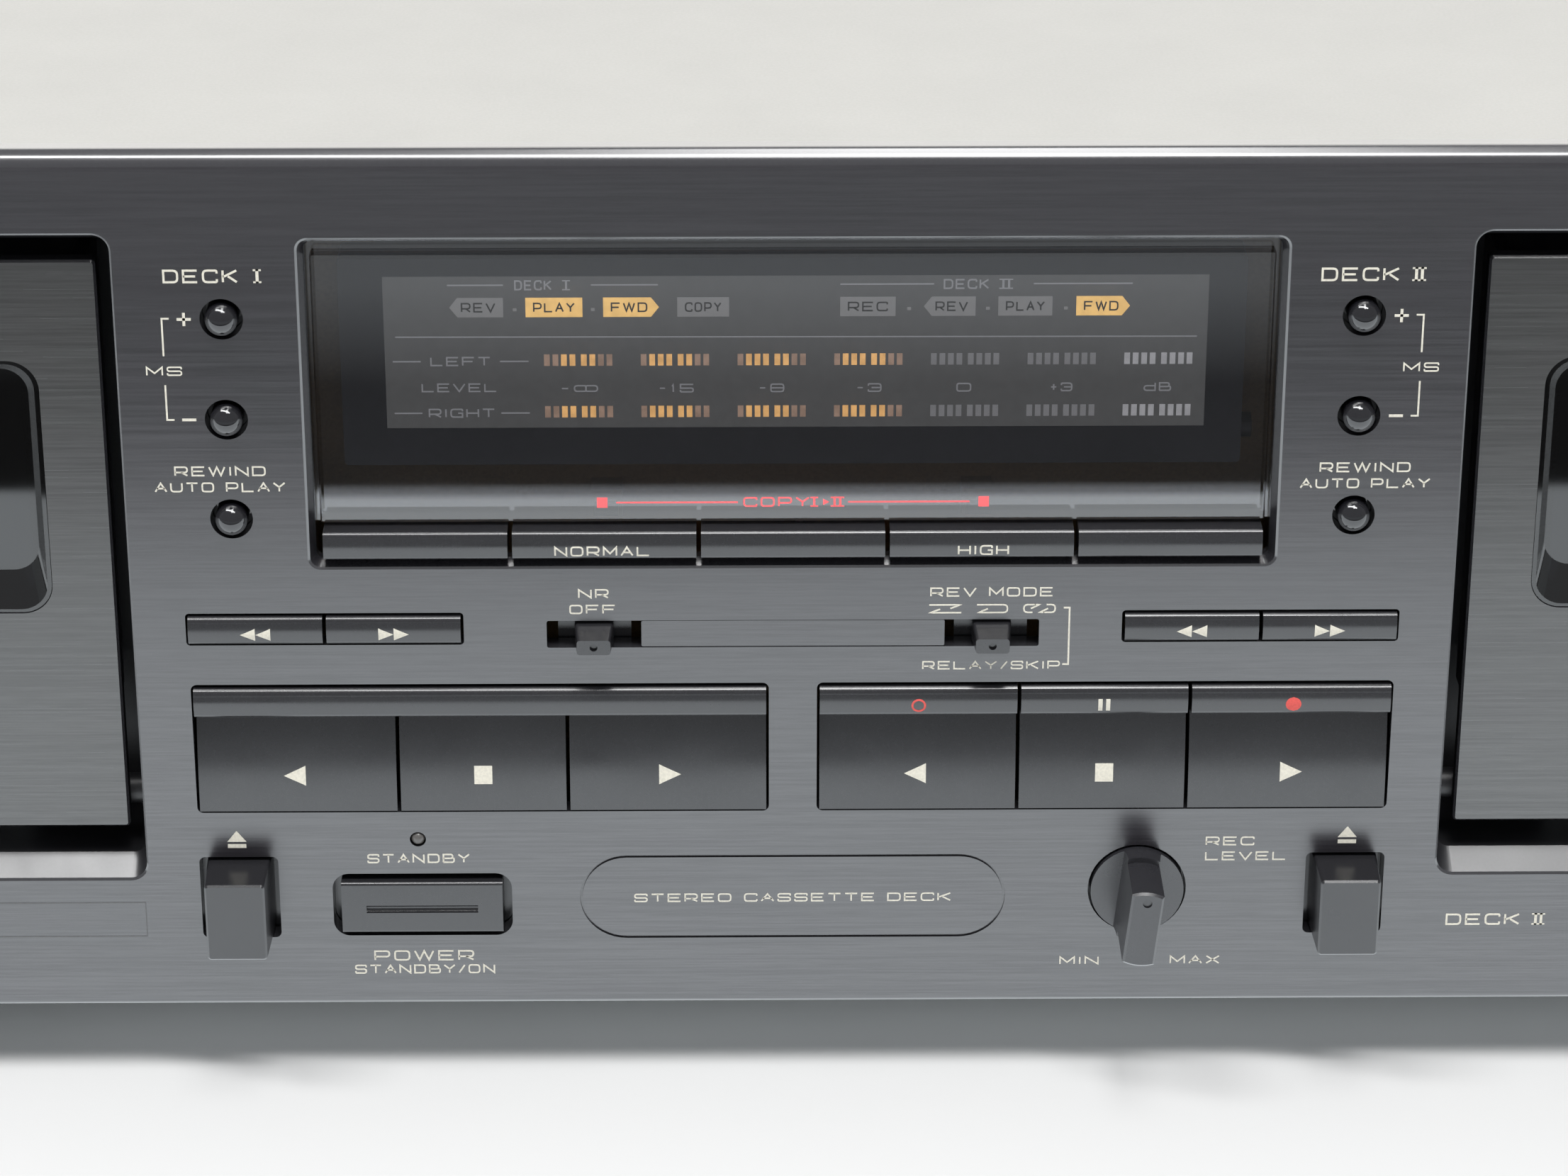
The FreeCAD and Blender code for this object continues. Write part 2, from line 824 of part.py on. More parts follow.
def reel_spindle(u):
    front = pocket_front + 2.5
    base = pocket_back + 0.4
    hub = rod(u, hub_v, spindle_r, front + 1.6, base)
    nose = Part.makeCone(1.6, spindle_r, 1.6, at(u, hub_v, front), V(0, 1, 0))
    fins = []
    for i in range(3):
        fin = block(u - 0.7, u + 0.7, hub_v, hub_v + spindle_r + spindle_fin, front + 2.0, base)
        fin.rotate(at(u, hub_v, 0.0), V(0, 1, 0), 120.0 * i)
        fins.append(fin)
    collar = rod(u, hub_v, spindle_r + 4.0, base, base + 1.2)
    gear_front = plate_front - 0.4 - 2.0
    gear = Part.Face(gear_wire(u, hub_v, gear_front)).extrude(V(0, 2.0, 0))
    neck = rod(u, hub_v, spindle_r, base, gear_front)
    axle = rod(u, hub_v, spindle_axle, gear_front, plate_back + 1.5)
    return fuse([hub, nose] + fins + [collar, neck, gear, axle])


def flywheel_face():
    return plate_back + 2.5


def capstan(u):
    shaft = rod(u, capstan_v, capstan_r, pocket_front + 2.0, rear_plate - 0.3)
    d0 = flywheel_face()
    wheel = rod(u, capstan_v, flywheel_r, d0, d0 + flywheel_t)
    dish = rod(u, capstan_v, flywheel_r - 4.0, d0 + flywheel_t - 1.5, d0 + flywheel_t + 1.0)
    hub = rod(u, capstan_v, 4.0, d0, d0 + flywheel_t)
    return fuse([wheel.cut(dish), hub, shaft])


def motor_pulley(u):
    d0 = flywheel_face()
    wheel = rod(u, motor_v, pulley_r, d0, d0 + flywheel_t)
    flange = rod(u, motor_v, pulley_r + 1.2, d0 + flywheel_t, d0 + flywheel_t + 0.8)
    shaft = rod(u, motor_v, 1.0, d0, rear_plate + plate_t + 2.0)
    return fuse([wheel, flange, shaft])


def motor(u):
    d0 = rear_plate + plate_t
    can = rod(u, motor_v, motor_r, d0, d0 + motor_len)
    step = rod(u, motor_v, motor_r - 4.0, d0 + motor_len - 0.5, d0 + motor_len + 1.5)
    bore = rod(u, motor_v, 1.0 + axle_fit, d0 - 1.0, d0 + 3.0)
    return fuse([can, step]).cut(bore)


def belt_loop(u, grow):
    # The outline of a belt round two flywheels and the motor pulley.
    circles = [(u - capstan_off, capstan_v, flywheel_r + grow),
               (u + capstan_off, capstan_v, flywheel_r + grow),
               (u, motor_v, pulley_r + grow)]
    edges = []
    ends = []
    for i, (ax, av, ar) in enumerate(circles):
        bx, bv, br = circles[(i + 1) % 3]
        span = math.hypot(bx - ax, bv - av)
        along = math.atan2(bv - av, bx - ax)
        lean = along - math.pi / 2.0 + math.asin((ar - br) / span)
        ends.append(lean)
    for i, (cu, cv, r) in enumerate(circles):
        start = ends[i - 1]
        stop = ends[i]
        while stop < start:
            stop += 2.0 * math.pi
        points = [at(cu + r * math.cos(a), cv + r * math.sin(a), flywheel_face() + 1.0)
                  for a in (start, (start + stop) / 2.0, stop)]
        edges.append(Part.Arc(*points).toShape())
        nu, nv, nr = circles[(i + 1) % 3]
        there = at(nu + nr * math.cos(stop), nv + nr * math.sin(stop), flywheel_face() + 1.0)
        edges.append(Part.makeLine(points[2], there))
    return Part.Wire(Part.__sortEdges__(edges))


def belt(u):
    outer = Part.Face(belt_loop(u, belt_gap + belt_t)).extrude(V(0, 2.5, 0))
    inner = Part.Face(belt_loop(u, belt_gap)).extrude(V(0, 2.5, 0))
    return outer.cut(inner)


def deck_frame(u):
    half = bay_half + bay_wall
    low = bay_low - bay_wall
    high = bay_high + bay_wall
    front = block(u - half, u + half, low, high, plate_front, plate_back)
    back = block(u - half + 4.0, u + half - 4.0, low + 8.0, high - 4.0, rear_plate,
                 rear_plate + plate_t)
    legs = []
    for su in (-1, 1):
        for v in (low + 11.0, high - 8.0):
            legs.append(rod(u + su * (half - 7.0), v, 2.5, plate_back, rear_plate))
    whole = fuse([front, back] + legs)
    tools = []
    for su in (-1, 1):
        tools.append(rod(u + su * hub_pitch / 2.0, hub_v, spindle_axle + axle_fit,
                         plate_front - 1.0, plate_back + 1.0))
        tools.append(rod(u + su * capstan_off, capstan_v, capstan_r + axle_fit,
                         plate_front - 1.0, plate_back + 1.0))
    tools.append(rod(u, motor_v, 3.0, rear_plate - 1.0, rear_plate + plate_t + 1.0))
    return whole.cut(tools)


def head_bridge(u):
    back = plate_front - 0.3
    front = back - plate_t
    low = bay_low + 2.6
    top = seat_v - 2.6
    roller_v = capstan_v - capstan_r - roller_r - 0.35 - bridge_travel
    plate = block(u - 39.0, u + 39.0, low, top, front, back)
    head_top = seat_v - 1.6
    head = tile(u - 7.0, u + 7.0, head_top - 11.0, head_top, 2.5, pocket_front + 2.4, front)
    guides = []
    for s in (-1, 1):
        guides.append(block(u + s * 11.0 - 1.5, u + s * 11.0 + 1.5, head_top - 8.0, head_top,
                            pocket_front + 2.4, front))
        guides.append(rod(u + s * capstan_off, roller_v, roller_r, pocket_front + 2.4,
                          pocket_back - 1.5))
        guides.append(rod(u + s * capstan_off, roller_v, 1.5, pocket_back - 1.5, front))
    return fuse([plate, head] + guides)


# Case

def screw_holes(r):
    tools = []
    for d in side_screw_d:
        tools.append(cross_rod(-half_w - 5.0, half_w + 5.0, side_screw_v, d, r))
    for u in rear_screw_u:
        tools.append(rod(u, panel_h - rear_lip / 2.0 - 1.0, r, case_back - 12.0,
                         case_back + 5.0))
    return tools


def top_cover():
    d0 = rim_depth + fit_gap
    low = chassis_t + 0.2
    outer = bent_sheet(0.0, low, d0, case_back)
    inner = bent_sheet(cover_t, low - 1.0, d0 - 1.0, case_back - cover_t)
    low_cut = block(-half_w + 1.6, half_w - 1.6, -5.0, panel_h - rear_lip,
                    case_back - cover_t - 0.5, case_back + 1.0)
    shell = outer.cut([inner, low_cut])
    vents = []
    for side in (-1, 1):
        for i in range(vent_count):
            d = vent_first + i * vent_pitch
            slot = block(half_w - 6.0, half_w + 1.0, vent_low, vent_high, d, d + vent_w)
            vents.append(mirrored(slot, side))
    return cut(shell, vents + screw_holes(screw_r + screw_hole_gap))


def chassis():
    inset = cover_inset + cover_t + fit_gap
    x = half_w - inset
    back = case_back - cover_t
    front = rim_depth + fit_gap
    floor = block(-x, x, 0.0, chassis_t, front, back)
    pieces = [floor, under_cover(back - chassis_t, back)]
    for s in (-1, 1):
        u0, u1 = sorted((s * x, s * (x - chassis_t)))
        pieces.append(block(u0, u1, 0.0, chassis_t + tray_lip, rim_depth + spigot_len + 1.0,
                            back))
    for u, d in board_post_places():
        pieces.append(post(u, d, post_r, chassis_t - 0.2, chassis_t + main_board_lift))
    tools = screw_holes(screw_r + screw_hole_gap)
    for u, v in jack_places():
        tools.append(rod(u, v, jack_r + 0.3, back - 5.0, back + 5.0))
    tools.append(block(inlet_u - inlet_w / 2.0, inlet_u + inlet_w / 2.0,
                       inlet_v - inlet_h / 2.0, inlet_v + inlet_h / 2.0, back - 5.0,
                       back + 5.0))
    for u, d in foot_places():
        tools.append(post(u, d, screw_r + screw_hole_gap, -2.0, chassis_t + 2.0))
    return cut(fuse(pieces), tools)


def foot_places():
    return [(s * foot_u, d) for s in (-1, 1) for d in (foot_front, foot_back)]


def feet():
    result = []
    for u, d in foot_places():
        low = -foot_h
        body = Part.makeCone(foot_r - 1.0, foot_r, foot_h, at(u, low, d), V(0, 0, 1))
        well = post(u, d, screw_head_r + 1.0, low - 1.0, -foot_screw_up)
        bore = post(u, d, screw_r + screw_hole_gap, low, 1.0)
        result.append(body.cut([well, bore]))
    return Part.makeCompound(result)


def screw(tip, way, length):
    # The head stands on the surface at tip, and the shank runs along way.
    shank = Part.makeCylinder(screw_r, length, tip, way)
    head = Part.makeCylinder(screw_head_r, screw_head_h, tip - way * screw_head_h, way)
    across = Part.makeBox(screw_head_r * 1.4, 0.6, 0.8)
    across.translate(V(-screw_head_r * 0.7, -0.3, -0.8))
    along = Part.makeBox(0.6, screw_head_r * 1.4, 0.8)
    along.translate(V(-0.3, -screw_head_r * 0.7, -0.8))
    drive = across.fuse(along)
    turn = FreeCAD.Rotation(V(0, 0, -1), way)
    drive.Placement = FreeCAD.Placement(tip - way * screw_head_h, turn).multiply(
        drive.Placement)
    return head.fuse(shank).removeSplitter().cut(drive)


def case_screws():
    result = []
    for d in side_screw_d:
        for s in (-1, 1):
            tip = at(s * (half_w - cover_inset), side_screw_v, d)
            result.append(screw(tip, V(-s, 0, 0), screw_len))
    for u in rear_screw_u:
        tip = at(u, panel_h - rear_lip / 2.0 - 1.0, case_back)
        result.append(screw(tip, V(0, -1, 0), screw_len))
    for u, d in foot_places():
        result.append(screw(at(u, -foot_screw_up, d), V(0, 0, 1), screw_len))
    return Part.makeCompound(result)


# Boards, transformer and rear sockets

def board_post_places():
    half = main_board_w / 2.0 - 6.0
    return [(s * half + main_board_shift, d) for s in (-1, 1)
            for d in (main_board_at + 6.0, main_board_at + main_board_d - 6.0)]


def main_board():
    low = chassis_t + main_board_lift
    top = low + board_t
    u0 = -main_board_w / 2.0 + main_board_shift
    plate = block(u0, u0 + main_board_w, low, top, main_board_at,
                  main_board_at + main_board_d)
    parts = []
    for i in range(5):
        parts.append(post(u0 + 30.0 + i * 16.0, main_board_at + 100.0, 5.0, top - 0.2,
                          top + 20.0 - 2.0 * (i % 3)))
    for i in range(4):
        u = u0 + 40.0 + i * 45.0
        parts.append(block(u, u + 26.0, top - 0.2, top + 3.5, main_board_at + 40.0,
                           main_board_at + 49.0))
    sink = block(u0 + 130.0, u0 + 180.0, top - 0.2, top + 28.0, main_board_at + 95.0,
                 main_board_at + 98.0)
    parts.append(sink)
    for i in range(6):
        u = u0 + 131.0 + i * 9.0
        parts.append(block(u, u + 2.0, top - 0.2, top + 28.0, main_board_at + 97.0,
                           main_board_at + 106.0))
    return fuse([plate] + parts)


def switch_places():
    places = []
    for side in (-1, 1):
        for u0, u1 in key_spans():
            middle = side * (u0 + u1) / 2.0
            places.append((middle, (keys_low + run_gap + keys_mid - 0.15) / 2.0, switch_w))
            if side > 0:
                places.append((middle, (keys_mid + keys_high) / 2.0, 3.0))
        for u0, u1 in wind_spans():
            places.append((side * (u0 + u1) / 2.0, (wind_low + wind_high) / 2.0, 5.0))
        for v in dome_rows:
            places.append((side * dome_u, v, switch_w))
        places.append((side * eject_u, (eject_low + eject_high) / 2.0, switch_w))
        places.append((side * (slot_half + slot_inner) / 2.0, (slot_low + slot_high) / 2.0,
                       5.0))
    for i in (1, 3):
        u0, u1 = copy_span(i)
        places.append(((u0 + u1) / 2.0, (copy_low + copy_high) / 2.0, 4.0))
    places.append((power_u, power_v, 8.0))
    return places


def control_board():
    low = chassis_t + rim_wall + 1.0
    high = panel_h - 5.0
    plate = block(-board_half, board_half, low, high, board_front, board_front + board_t)
    parts = []
    for u, v, w in switch_places():
        parts.append(block(u - w / 2.0, u + w / 2.0, v - w / 2.0, v + w / 2.0, switch_face,
                           board_front + 0.2))
    pot = rod(knob_u, knob_v, 8.0, board_front - 7.0, board_front + 0.2)
    parts.append(pot)
    whole = fuse([plate] + parts)
    return whole.cut(rod(knob_u, knob_v, knob_shaft + axle_fit, board_front - 8.0,
                         board_front - 0.6))


def transformer():
    base = chassis_t
    w = trafo_w / 2.0
    q = trafo_depth / 2.0
    foot = block(trafo_u - w, trafo_u + w, base, base + 1.5, trafo_d - q, trafo_d + q)
    core = block(trafo_u - w + 8.0, trafo_u + w - 8.0, base, base + trafo_h, trafo_d - q + 8.0,
                 trafo_d + q - 8.0)
    coil = tile(trafo_u - w + 14.0, trafo_u + w - 14.0, base + 8.0, base + trafo_h - 8.0, 3.0,
                trafo_d - q, trafo_d + q)
    return fuse([foot, core, coil])


def jack_places():
    h = jack_pitch / 2.0
    return [(jack_u + a * h, jack_v + b * h) for a in (-1, 1) for b in (-1, 1)]


def rear_sockets():
    back = case_back - cover_t
    inner = back - chassis_t
    edge = jack_pitch / 2.0 + jack_edge
    body = block(jack_u - edge, jack_u + edge, jack_v - edge, jack_v + edge, inner - 12.0,
                 inner)
    rods = []
    bores = []
    for u, v in jack_places():
        rods.append(rod(u, v, jack_neck_r, inner - 1.0, back + jack_neck_out))
        rods.append(rod(u, v, jack_r, back, case_back + jack_reach))
        bores.append(rod(u, v, jack_bore, case_back - 6.0, case_back + jack_reach + 1.0))
    jacks = fuse([body] + rods).cut(bores)
    w = inlet_w / 2.0
    h = inlet_h / 2.0
    shell = block(inlet_u - w - 3.0, inlet_u + w + 3.0, inlet_v - h - 2.0, inlet_v + h + 2.0,
                  inner - 16.0, inner)
    nose = tile(inlet_u - w + fit_gap, inlet_u + w - fit_gap, inlet_v - h + fit_gap,
                inlet_v + h - fit_gap, 1.5, inner - 1.0, case_back + 1.0)
    well = tile(inlet_u - w + 2.2, inlet_u + w - 2.2, inlet_v - h + 2.0, inlet_v + h - 2.0,
                3.0, inner - 12.0, case_back + 2.0)
    pins = [rod(inlet_u + s * 4.3, inlet_v, 1.2, inner - 13.0, case_back - 2.0)
            for s in (-1, 1)]
    inlet = fuse([shell.fuse(nose).cut(well)] + pins)
    return Part.makeCompound([jacks, inlet])


# Write every piece

save("front_panel", front_panel())
save("display_lens", display_lens())
save("display_tube", display_tube())
save("trim_caps", trim_caps())
save("standby_lamp", standby_lamp())
save("top_cover", top_cover())
save("base_chassis", chassis())
save("feet", feet())
save("case_screws", case_screws())
save("circuit_boards", Part.makeCompound([main_board(), control_board()]))
save("transformer", transformer())
save("rear_sockets", rear_sockets())
save("power_button", power_button())
save("copy_normal_key", copy_key(1))
save("copy_high_key", copy_key(3))
save("nr_slider", slider(-1))
save("reverse_slider", slider(1))
save("level_knob", level_knob())

inner_span, middle_span, outer_span = key_spans()
save("record_mute_key", top_key(*inner_span))
save("pause_key", top_key(*middle_span))
save("record_key", top_key(*outer_span))

for number, side in ((1, -1), (2, 1)):
    deck = "deck_%d_" % number
    left, right = (outer_span, inner_span) if side < 0 else (inner_span, outer_span)
    save(deck + "reverse_key", mirrored(big_key(*left), side))
    save(deck + "stop_key", mirrored(big_key(*middle_span), side))
    save(deck + "play_key", mirrored(big_key(*right), side))
    near, far = wind_spans()
    left, right = (far, near) if side < 0 else (near, far)
    save(deck + "rewind_key", mirrored(wind_key(*left), side))
    save(deck + "forward_key", mirrored(wind_key(*right), side))
    for name, v in zip(("search_plus", "search_minus", "auto_play"), dome_rows):
        save(deck + name, dome_button(side * dome_u, v))
    save("eject_button_%d" % number, eject_button(side))
    save("door_%d_panel" % number, door_panel(side))
    save("door_%d_window" % number, door_window(side))
    save("door_%d_carrier" % number, carrier(side))
    middle = side * bay_mid
    save(deck + "left_reel", reel_spindle(middle - hub_pitch / 2.0))
    save(deck + "right_reel", reel_spindle(middle + hub_pitch / 2.0))
    save(deck + "left_capstan", capstan(middle - capstan_off))
    save(deck + "right_capstan", capstan(middle + capstan_off))
    save(deck + "motor_pulley", motor_pulley(middle))
    save(deck + "head_bridge", head_bridge(middle))

save("deck_frames", Part.makeCompound([deck_frame(s * bay_mid) for s in (-1, 1)]))
save("deck_motors", Part.makeCompound([motor(s * bay_mid) for s in (-1, 1)]))
save("drive_belts", Part.makeCompound([belt(s * bay_mid) for s in (-1, 1)]))
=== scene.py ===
import json
import math

import bpy
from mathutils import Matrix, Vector
from mathutils.bvhtree import BVHTree


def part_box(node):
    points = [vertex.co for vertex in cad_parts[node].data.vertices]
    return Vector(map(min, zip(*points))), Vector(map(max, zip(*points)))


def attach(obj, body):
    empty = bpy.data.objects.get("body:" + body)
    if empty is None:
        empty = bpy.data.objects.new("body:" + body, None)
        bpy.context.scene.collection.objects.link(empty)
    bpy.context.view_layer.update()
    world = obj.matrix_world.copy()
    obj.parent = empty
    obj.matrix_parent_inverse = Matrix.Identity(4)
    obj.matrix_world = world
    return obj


# A black twin cassette duplicator on a pale table, seen from the front and above.
# Places on the front are u (right of the middle), v (above the panel's lower edge) and
# d (behind the panel's face), in millimetres.

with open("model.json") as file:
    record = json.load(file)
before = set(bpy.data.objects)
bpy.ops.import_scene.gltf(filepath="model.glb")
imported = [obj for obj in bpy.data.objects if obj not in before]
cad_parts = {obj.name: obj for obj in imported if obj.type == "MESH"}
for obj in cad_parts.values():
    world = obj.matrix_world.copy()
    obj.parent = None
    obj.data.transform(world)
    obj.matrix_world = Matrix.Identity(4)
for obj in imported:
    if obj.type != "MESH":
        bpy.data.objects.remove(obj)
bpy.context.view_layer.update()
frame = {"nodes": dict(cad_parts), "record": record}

MM = 0.001
PANEL_LOW, PANEL_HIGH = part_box("front_panel")
FACE_Y = PANEL_LOW.y
BASE_Z = PANEL_LOW.z
NODES = frame["nodes"]
# Which nodes each body carries, and each node's material slot
BODIES = frame["record"]["behaviour"]["bodies"]


def at(u, v, d=0.0):
    return Vector((u * MM, FACE_Y + d * MM, BASE_Z + v * MM))


def middle(node):
    low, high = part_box(node)
    centre = (low + high) / 2.0
    return centre.x / MM, (centre.z - BASE_Z) / MM


# Camera: a long lens 0.55 m in front of the panel, looking down

CAMERA_PLACE = (-7.005, 315.753, -553.694)
CAMERA_DOWN = 24.748
CAMERA_TURN = 0.590
CAMERA_ROLL = -0.034
CAMERA_LENS = 109.85
SENSOR_WIDTH = 36.0


def make_camera():
    data = bpy.data.cameras.new("camera")
    data.lens = CAMERA_LENS
    data.sensor_width = SENSOR_WIDTH
    data.clip_start = 0.01
    camera = bpy.data.objects.new("camera", data)
    bpy.context.scene.collection.objects.link(camera)
    camera.location = at(*CAMERA_PLACE)
    camera.rotation_euler = (math.radians(90.0 - CAMERA_DOWN), math.radians(CAMERA_ROLL),
                             math.radians(-CAMERA_TURN))
    bpy.context.scene.camera = camera


# Material helpers

def material(name, colour, roughness, **inputs):
    mat = bpy.data.materials.new(name)
    mat.use_nodes = True
    shader = mat.node_tree.nodes["Principled BSDF"]
    shader.inputs["Base Color"].default_value = (*colour, 1.0)
    shader.inputs["Roughness"].default_value = roughness
    for key, value in inputs.items():
        shader.inputs[key.replace("_", " ")].default_value = value
    return mat, shader


def new_node(mat, kind, inputs=(), **settings):
    node = mat.node_tree.nodes.new(kind)
    for key, value in settings.items():
        setattr(node, key, value)
    for key, value in dict(inputs).items():
        node.inputs[key].default_value = value
    return node


def link(mat, source, target):
    mat.node_tree.links.new(source, target)


def noise(mat, scale, detail=3.0, rough=0.5, stretch=(1.0, 1.0, 1.0)):
    place = new_node(mat, "ShaderNodeTexCoord")
    mapping = new_node(mat, "ShaderNodeMapping", {"Scale": stretch})
    texture = new_node(mat, "ShaderNodeTexNoise",
                       {"Scale": scale, "Detail": detail, "Roughness": rough})
    link(mat, place.outputs["Object"], mapping.inputs["Vector"])
    link(mat, mapping.outputs["Vector"], texture.inputs["Vector"])
    return texture.outputs["Fac"]


def spread(mat, source, low, high, out_low, out_high):
    node = new_node(mat, "ShaderNodeMapRange", {"From Min": low, "From Max": high,
                                                "To Min": out_low, "To Max": out_high})
    link(mat, source, node.inputs["Value"])
    return node.outputs["Result"]


def tint(mat, source, first, second, low=0.35, high=0.65):
    ramp = new_node(mat, "ShaderNodeValToRGB")
    ramp.color_ramp.elements[0].position = low
    ramp.color_ramp.elements[0].color = (*first, 1.0)
    ramp.color_ramp.elements[1].position = high
    ramp.color_ramp.elements[1].color = (*second, 1.0)
    link(mat, source, ramp.inputs["Fac"])
    return ramp.outputs["Color"]


def bump(mat, shader, source, depth, strength=1.0):
    node = new_node(mat, "ShaderNodeBump", {"Distance": depth, "Strength": strength})
    link(mat, source, node.inputs["Height"])
    link(mat, node.outputs["Normal"], shader.inputs["Normal"])


def scaled(colour, share):
    return tuple(c * share for c in colour)


# Most of a noise's values lie between these
NOISE_LOW = 0.3
NOISE_HIGH = 0.7
# Lines brushed along X: long in X, fine in Z
STREAK_SCALE = 3600.0
STREAK_STRETCH = (0.012, 1.0, 1.0)
STREAK_SHARE = 0.6
FINE_SCALE = 7000.0
FINE_STRETCH = (0.03, 1.0, 1.0)
BLEND_LOW = 0.2
BLEND_HIGH = 0.8
SHINE_LEVEL = 0.5
SHINE_SHARE = 0.45
PATCH_SCALE = 60.0
STAIN_SCALE = 45.0
HAZE_SCALE = 35.0
GLOW_SCALE = 900.0
INK_SCALE = 3000.0
INK_WORN = 0.86


def brushed(name, colour, roughness, uneven=0.12, deep=0.0000008, **inputs):
    # Satin paint over a face brushed from side to side.
    mat, shader = material(name, colour, roughness, **inputs)
    streaks = noise(mat, STREAK_SCALE, 2.0, 0.5, STREAK_STRETCH)
    fine = noise(mat, FINE_SCALE, 2.0, 0.5, FINE_STRETCH)
    blend = new_node(mat, "ShaderNodeMath", operation="ADD")
    link(mat, spread(mat, streaks, NOISE_LOW, NOISE_HIGH, 0.0, STREAK_SHARE), blend.inputs[0])
    link(mat, spread(mat, fine, NOISE_LOW, NOISE_HIGH, 0.0, 1.0 - STREAK_SHARE), blend.inputs[1])
    shade = tint(mat, blend.outputs[0], scaled(colour, 1.0 - uneven),
                 scaled(colour, 1.0 + uneven), BLEND_LOW, BLEND_HIGH)
    link(mat, shade, shader.inputs["Base Color"])
    swing = uneven * SHINE_SHARE
    link(mat, spread(mat, blend.outputs[0], BLEND_LOW, BLEND_HIGH, SHINE_LEVEL - swing,
                     SHINE_LEVEL + swing), shader.inputs["Specular IOR Level"])
    link(mat, spread(mat, streaks, NOISE_LOW, NOISE_HIGH, roughness - 0.015, roughness + 0.025),
         shader.inputs["Roughness"])
    bump(mat, shader, blend.outputs[0], deep)
    return mat


def moulded(name, colour, roughness, grain=2600.0, deep=0.000003, uneven=0.1, wear=0.04,
            **inputs):
    # Moulded plastic or paint with a fine grain and slightly uneven shine.
    mat, shader = material(name, colour, roughness, **inputs)
    speck = noise(mat, grain, 3.0, 0.55)
    patches = noise(mat, PATCH_SCALE, 4.0, 0.6)
    link(mat, tint(mat, speck, scaled(colour, 1.0 - uneven), scaled(colour, 1.0 + uneven)),
         shader.inputs["Base Color"])
    link(mat, spread(mat, patches, NOISE_LOW, NOISE_HIGH, roughness - wear,
                     roughness + wear * 1.5), shader.inputs["Roughness"])
    bump(mat, shader, speck, deep)
    return mat


def turned(name, colour, roughness, uneven=0.1, scale=900.0):
    # Plated or turned metal with faint tool marks and stains.
    mat, shader = material(name, colour, roughness, Metallic=1.0)
    marks = noise(mat, scale, 4.0, 0.6, (1.0, 0.15, 1.0))
    stain = noise(mat, STAIN_SCALE, 5.0, 0.65)
    link(mat, tint(mat, stain, scaled(colour, 1.0 - uneven), scaled(colour, 1.0 + uneven * 0.5)),
         shader.inputs["Base Color"])
    link(mat, spread(mat, marks, NOISE_LOW, NOISE_HIGH, roughness - 0.07, roughness + 0.1),
         shader.inputs["Roughness"])
    bump(mat, shader, marks, 0.000003)
    return mat


def smoked(name, clear, shine, index):
    # Smoked acrylic: what is behind it shows darkened, with a clean reflection in front.
    mat = bpy.data.materials.new(name)
    mat.use_nodes = True
    tree = mat.node_tree
    tree.nodes.remove(tree.nodes["Principled BSDF"])
    through = new_node(mat, "ShaderNodeBsdfTransparent", {"Color": (*clear, 1.0)})
    gloss = new_node(mat, "ShaderNodeBsdfGlossy", {"Color": (1.0, 1.0, 1.0, 1.0)})
    haze = noise(mat, HAZE_SCALE, 5.0, 0.6)
    link(mat, spread(mat, haze, NOISE_LOW, NOISE_HIGH, shine, shine + 0.015),
         gloss.inputs["Roughness"])
    edge = new_node(mat, "ShaderNodeFresnel", {"IOR": index})
    mix = new_node(mat, "ShaderNodeMixShader")
    link(mat, edge.outputs["Fac"], mix.inputs["Fac"])
    link(mat, through.outputs["BSDF"], mix.inputs[1])
    link(mat, gloss.outputs["BSDF"], mix.inputs[2])
    link(mat, mix.outputs["Shader"], tree.nodes["Material Output"].inputs["Surface"])
    return mat


def lit(name, colour, glow, dim=0.55):
    # A glowing face, a little uneven over it: phosphor glow on the lit segments, painted glow on
    # the unlit print, tags, bars and screen and on the lens ink.
    mat, shader = material(name, scaled(colour, 0.5), 0.6)
    cloud = noise(mat, GLOW_SCALE, 2.0, 0.5)
    link(mat, tint(mat, cloud, scaled(colour, dim), colour), shader.inputs["Emission Color"])
    shader.inputs["Emission Strength"].default_value = glow
    return mat


def printed(name, colour):
    # Screen-printed ink: matt, very slightly worn.
    mat, shader = material(name, colour, 0.6)
    speck = noise(mat, INK_SCALE, 2.0, 0.5)
    link(mat, tint(mat, speck, scaled(colour, INK_WORN), colour), shader.inputs["Base Color"])
    bump(mat, shader, speck, 0.000004)
    return mat


# Finishes

PANEL = brushed("panel_satin", (0.015, 0.0135, 0.017), 0.24, uneven=0.09, IOR=1.82)
RIM = moulded("panel_rim", (0.022, 0.022, 0.025), 0.2, deep=0.0000003, wear=0.01, IOR=1.9)
# Near-black finish: painted shade inside the bays and on the doors' sides.
CAVITY_SHADE = moulded("bay_inside_painted_shade", (0.005, 0.005, 0.006), 0.7, IOR=1.2)
DOOR = brushed("door_satin", (0.032, 0.032, 0.031), 0.25, uneven=0.11, IOR=1.70)
LEDGE = moulded("bay_ledge", (0.018, 0.018, 0.020), 0.33, IOR=1.7)
KEY = moulded("key_satin", (0.016, 0.016, 0.018), 0.22, deep=0.0000012, IOR=1.58)
KNOB = moulded("knob_satin", (0.020, 0.020, 0.023), 0.27, IOR=1.6)
DOME = moulded("dome_gloss", (0.008, 0.008, 0.010), 0.07, grain=500.0, deep=0.0000005,
               IOR=1.6)
LENS = smoked("lens_smoke", (0.74, 0.74, 0.76), 0.012, 1.75)
WINDOW = smoked("window_smoke", (0.14, 0.15, 0.17), 0.03, 1.6)
TUBE = moulded("tube_glass", (0.02, 0.022, 0.028), 0.3, grain=900.0, deep=0.000001)
LAMP = moulded("lamp_tinted", (0.10, 0.095, 0.09), 0.3, grain=500.0)
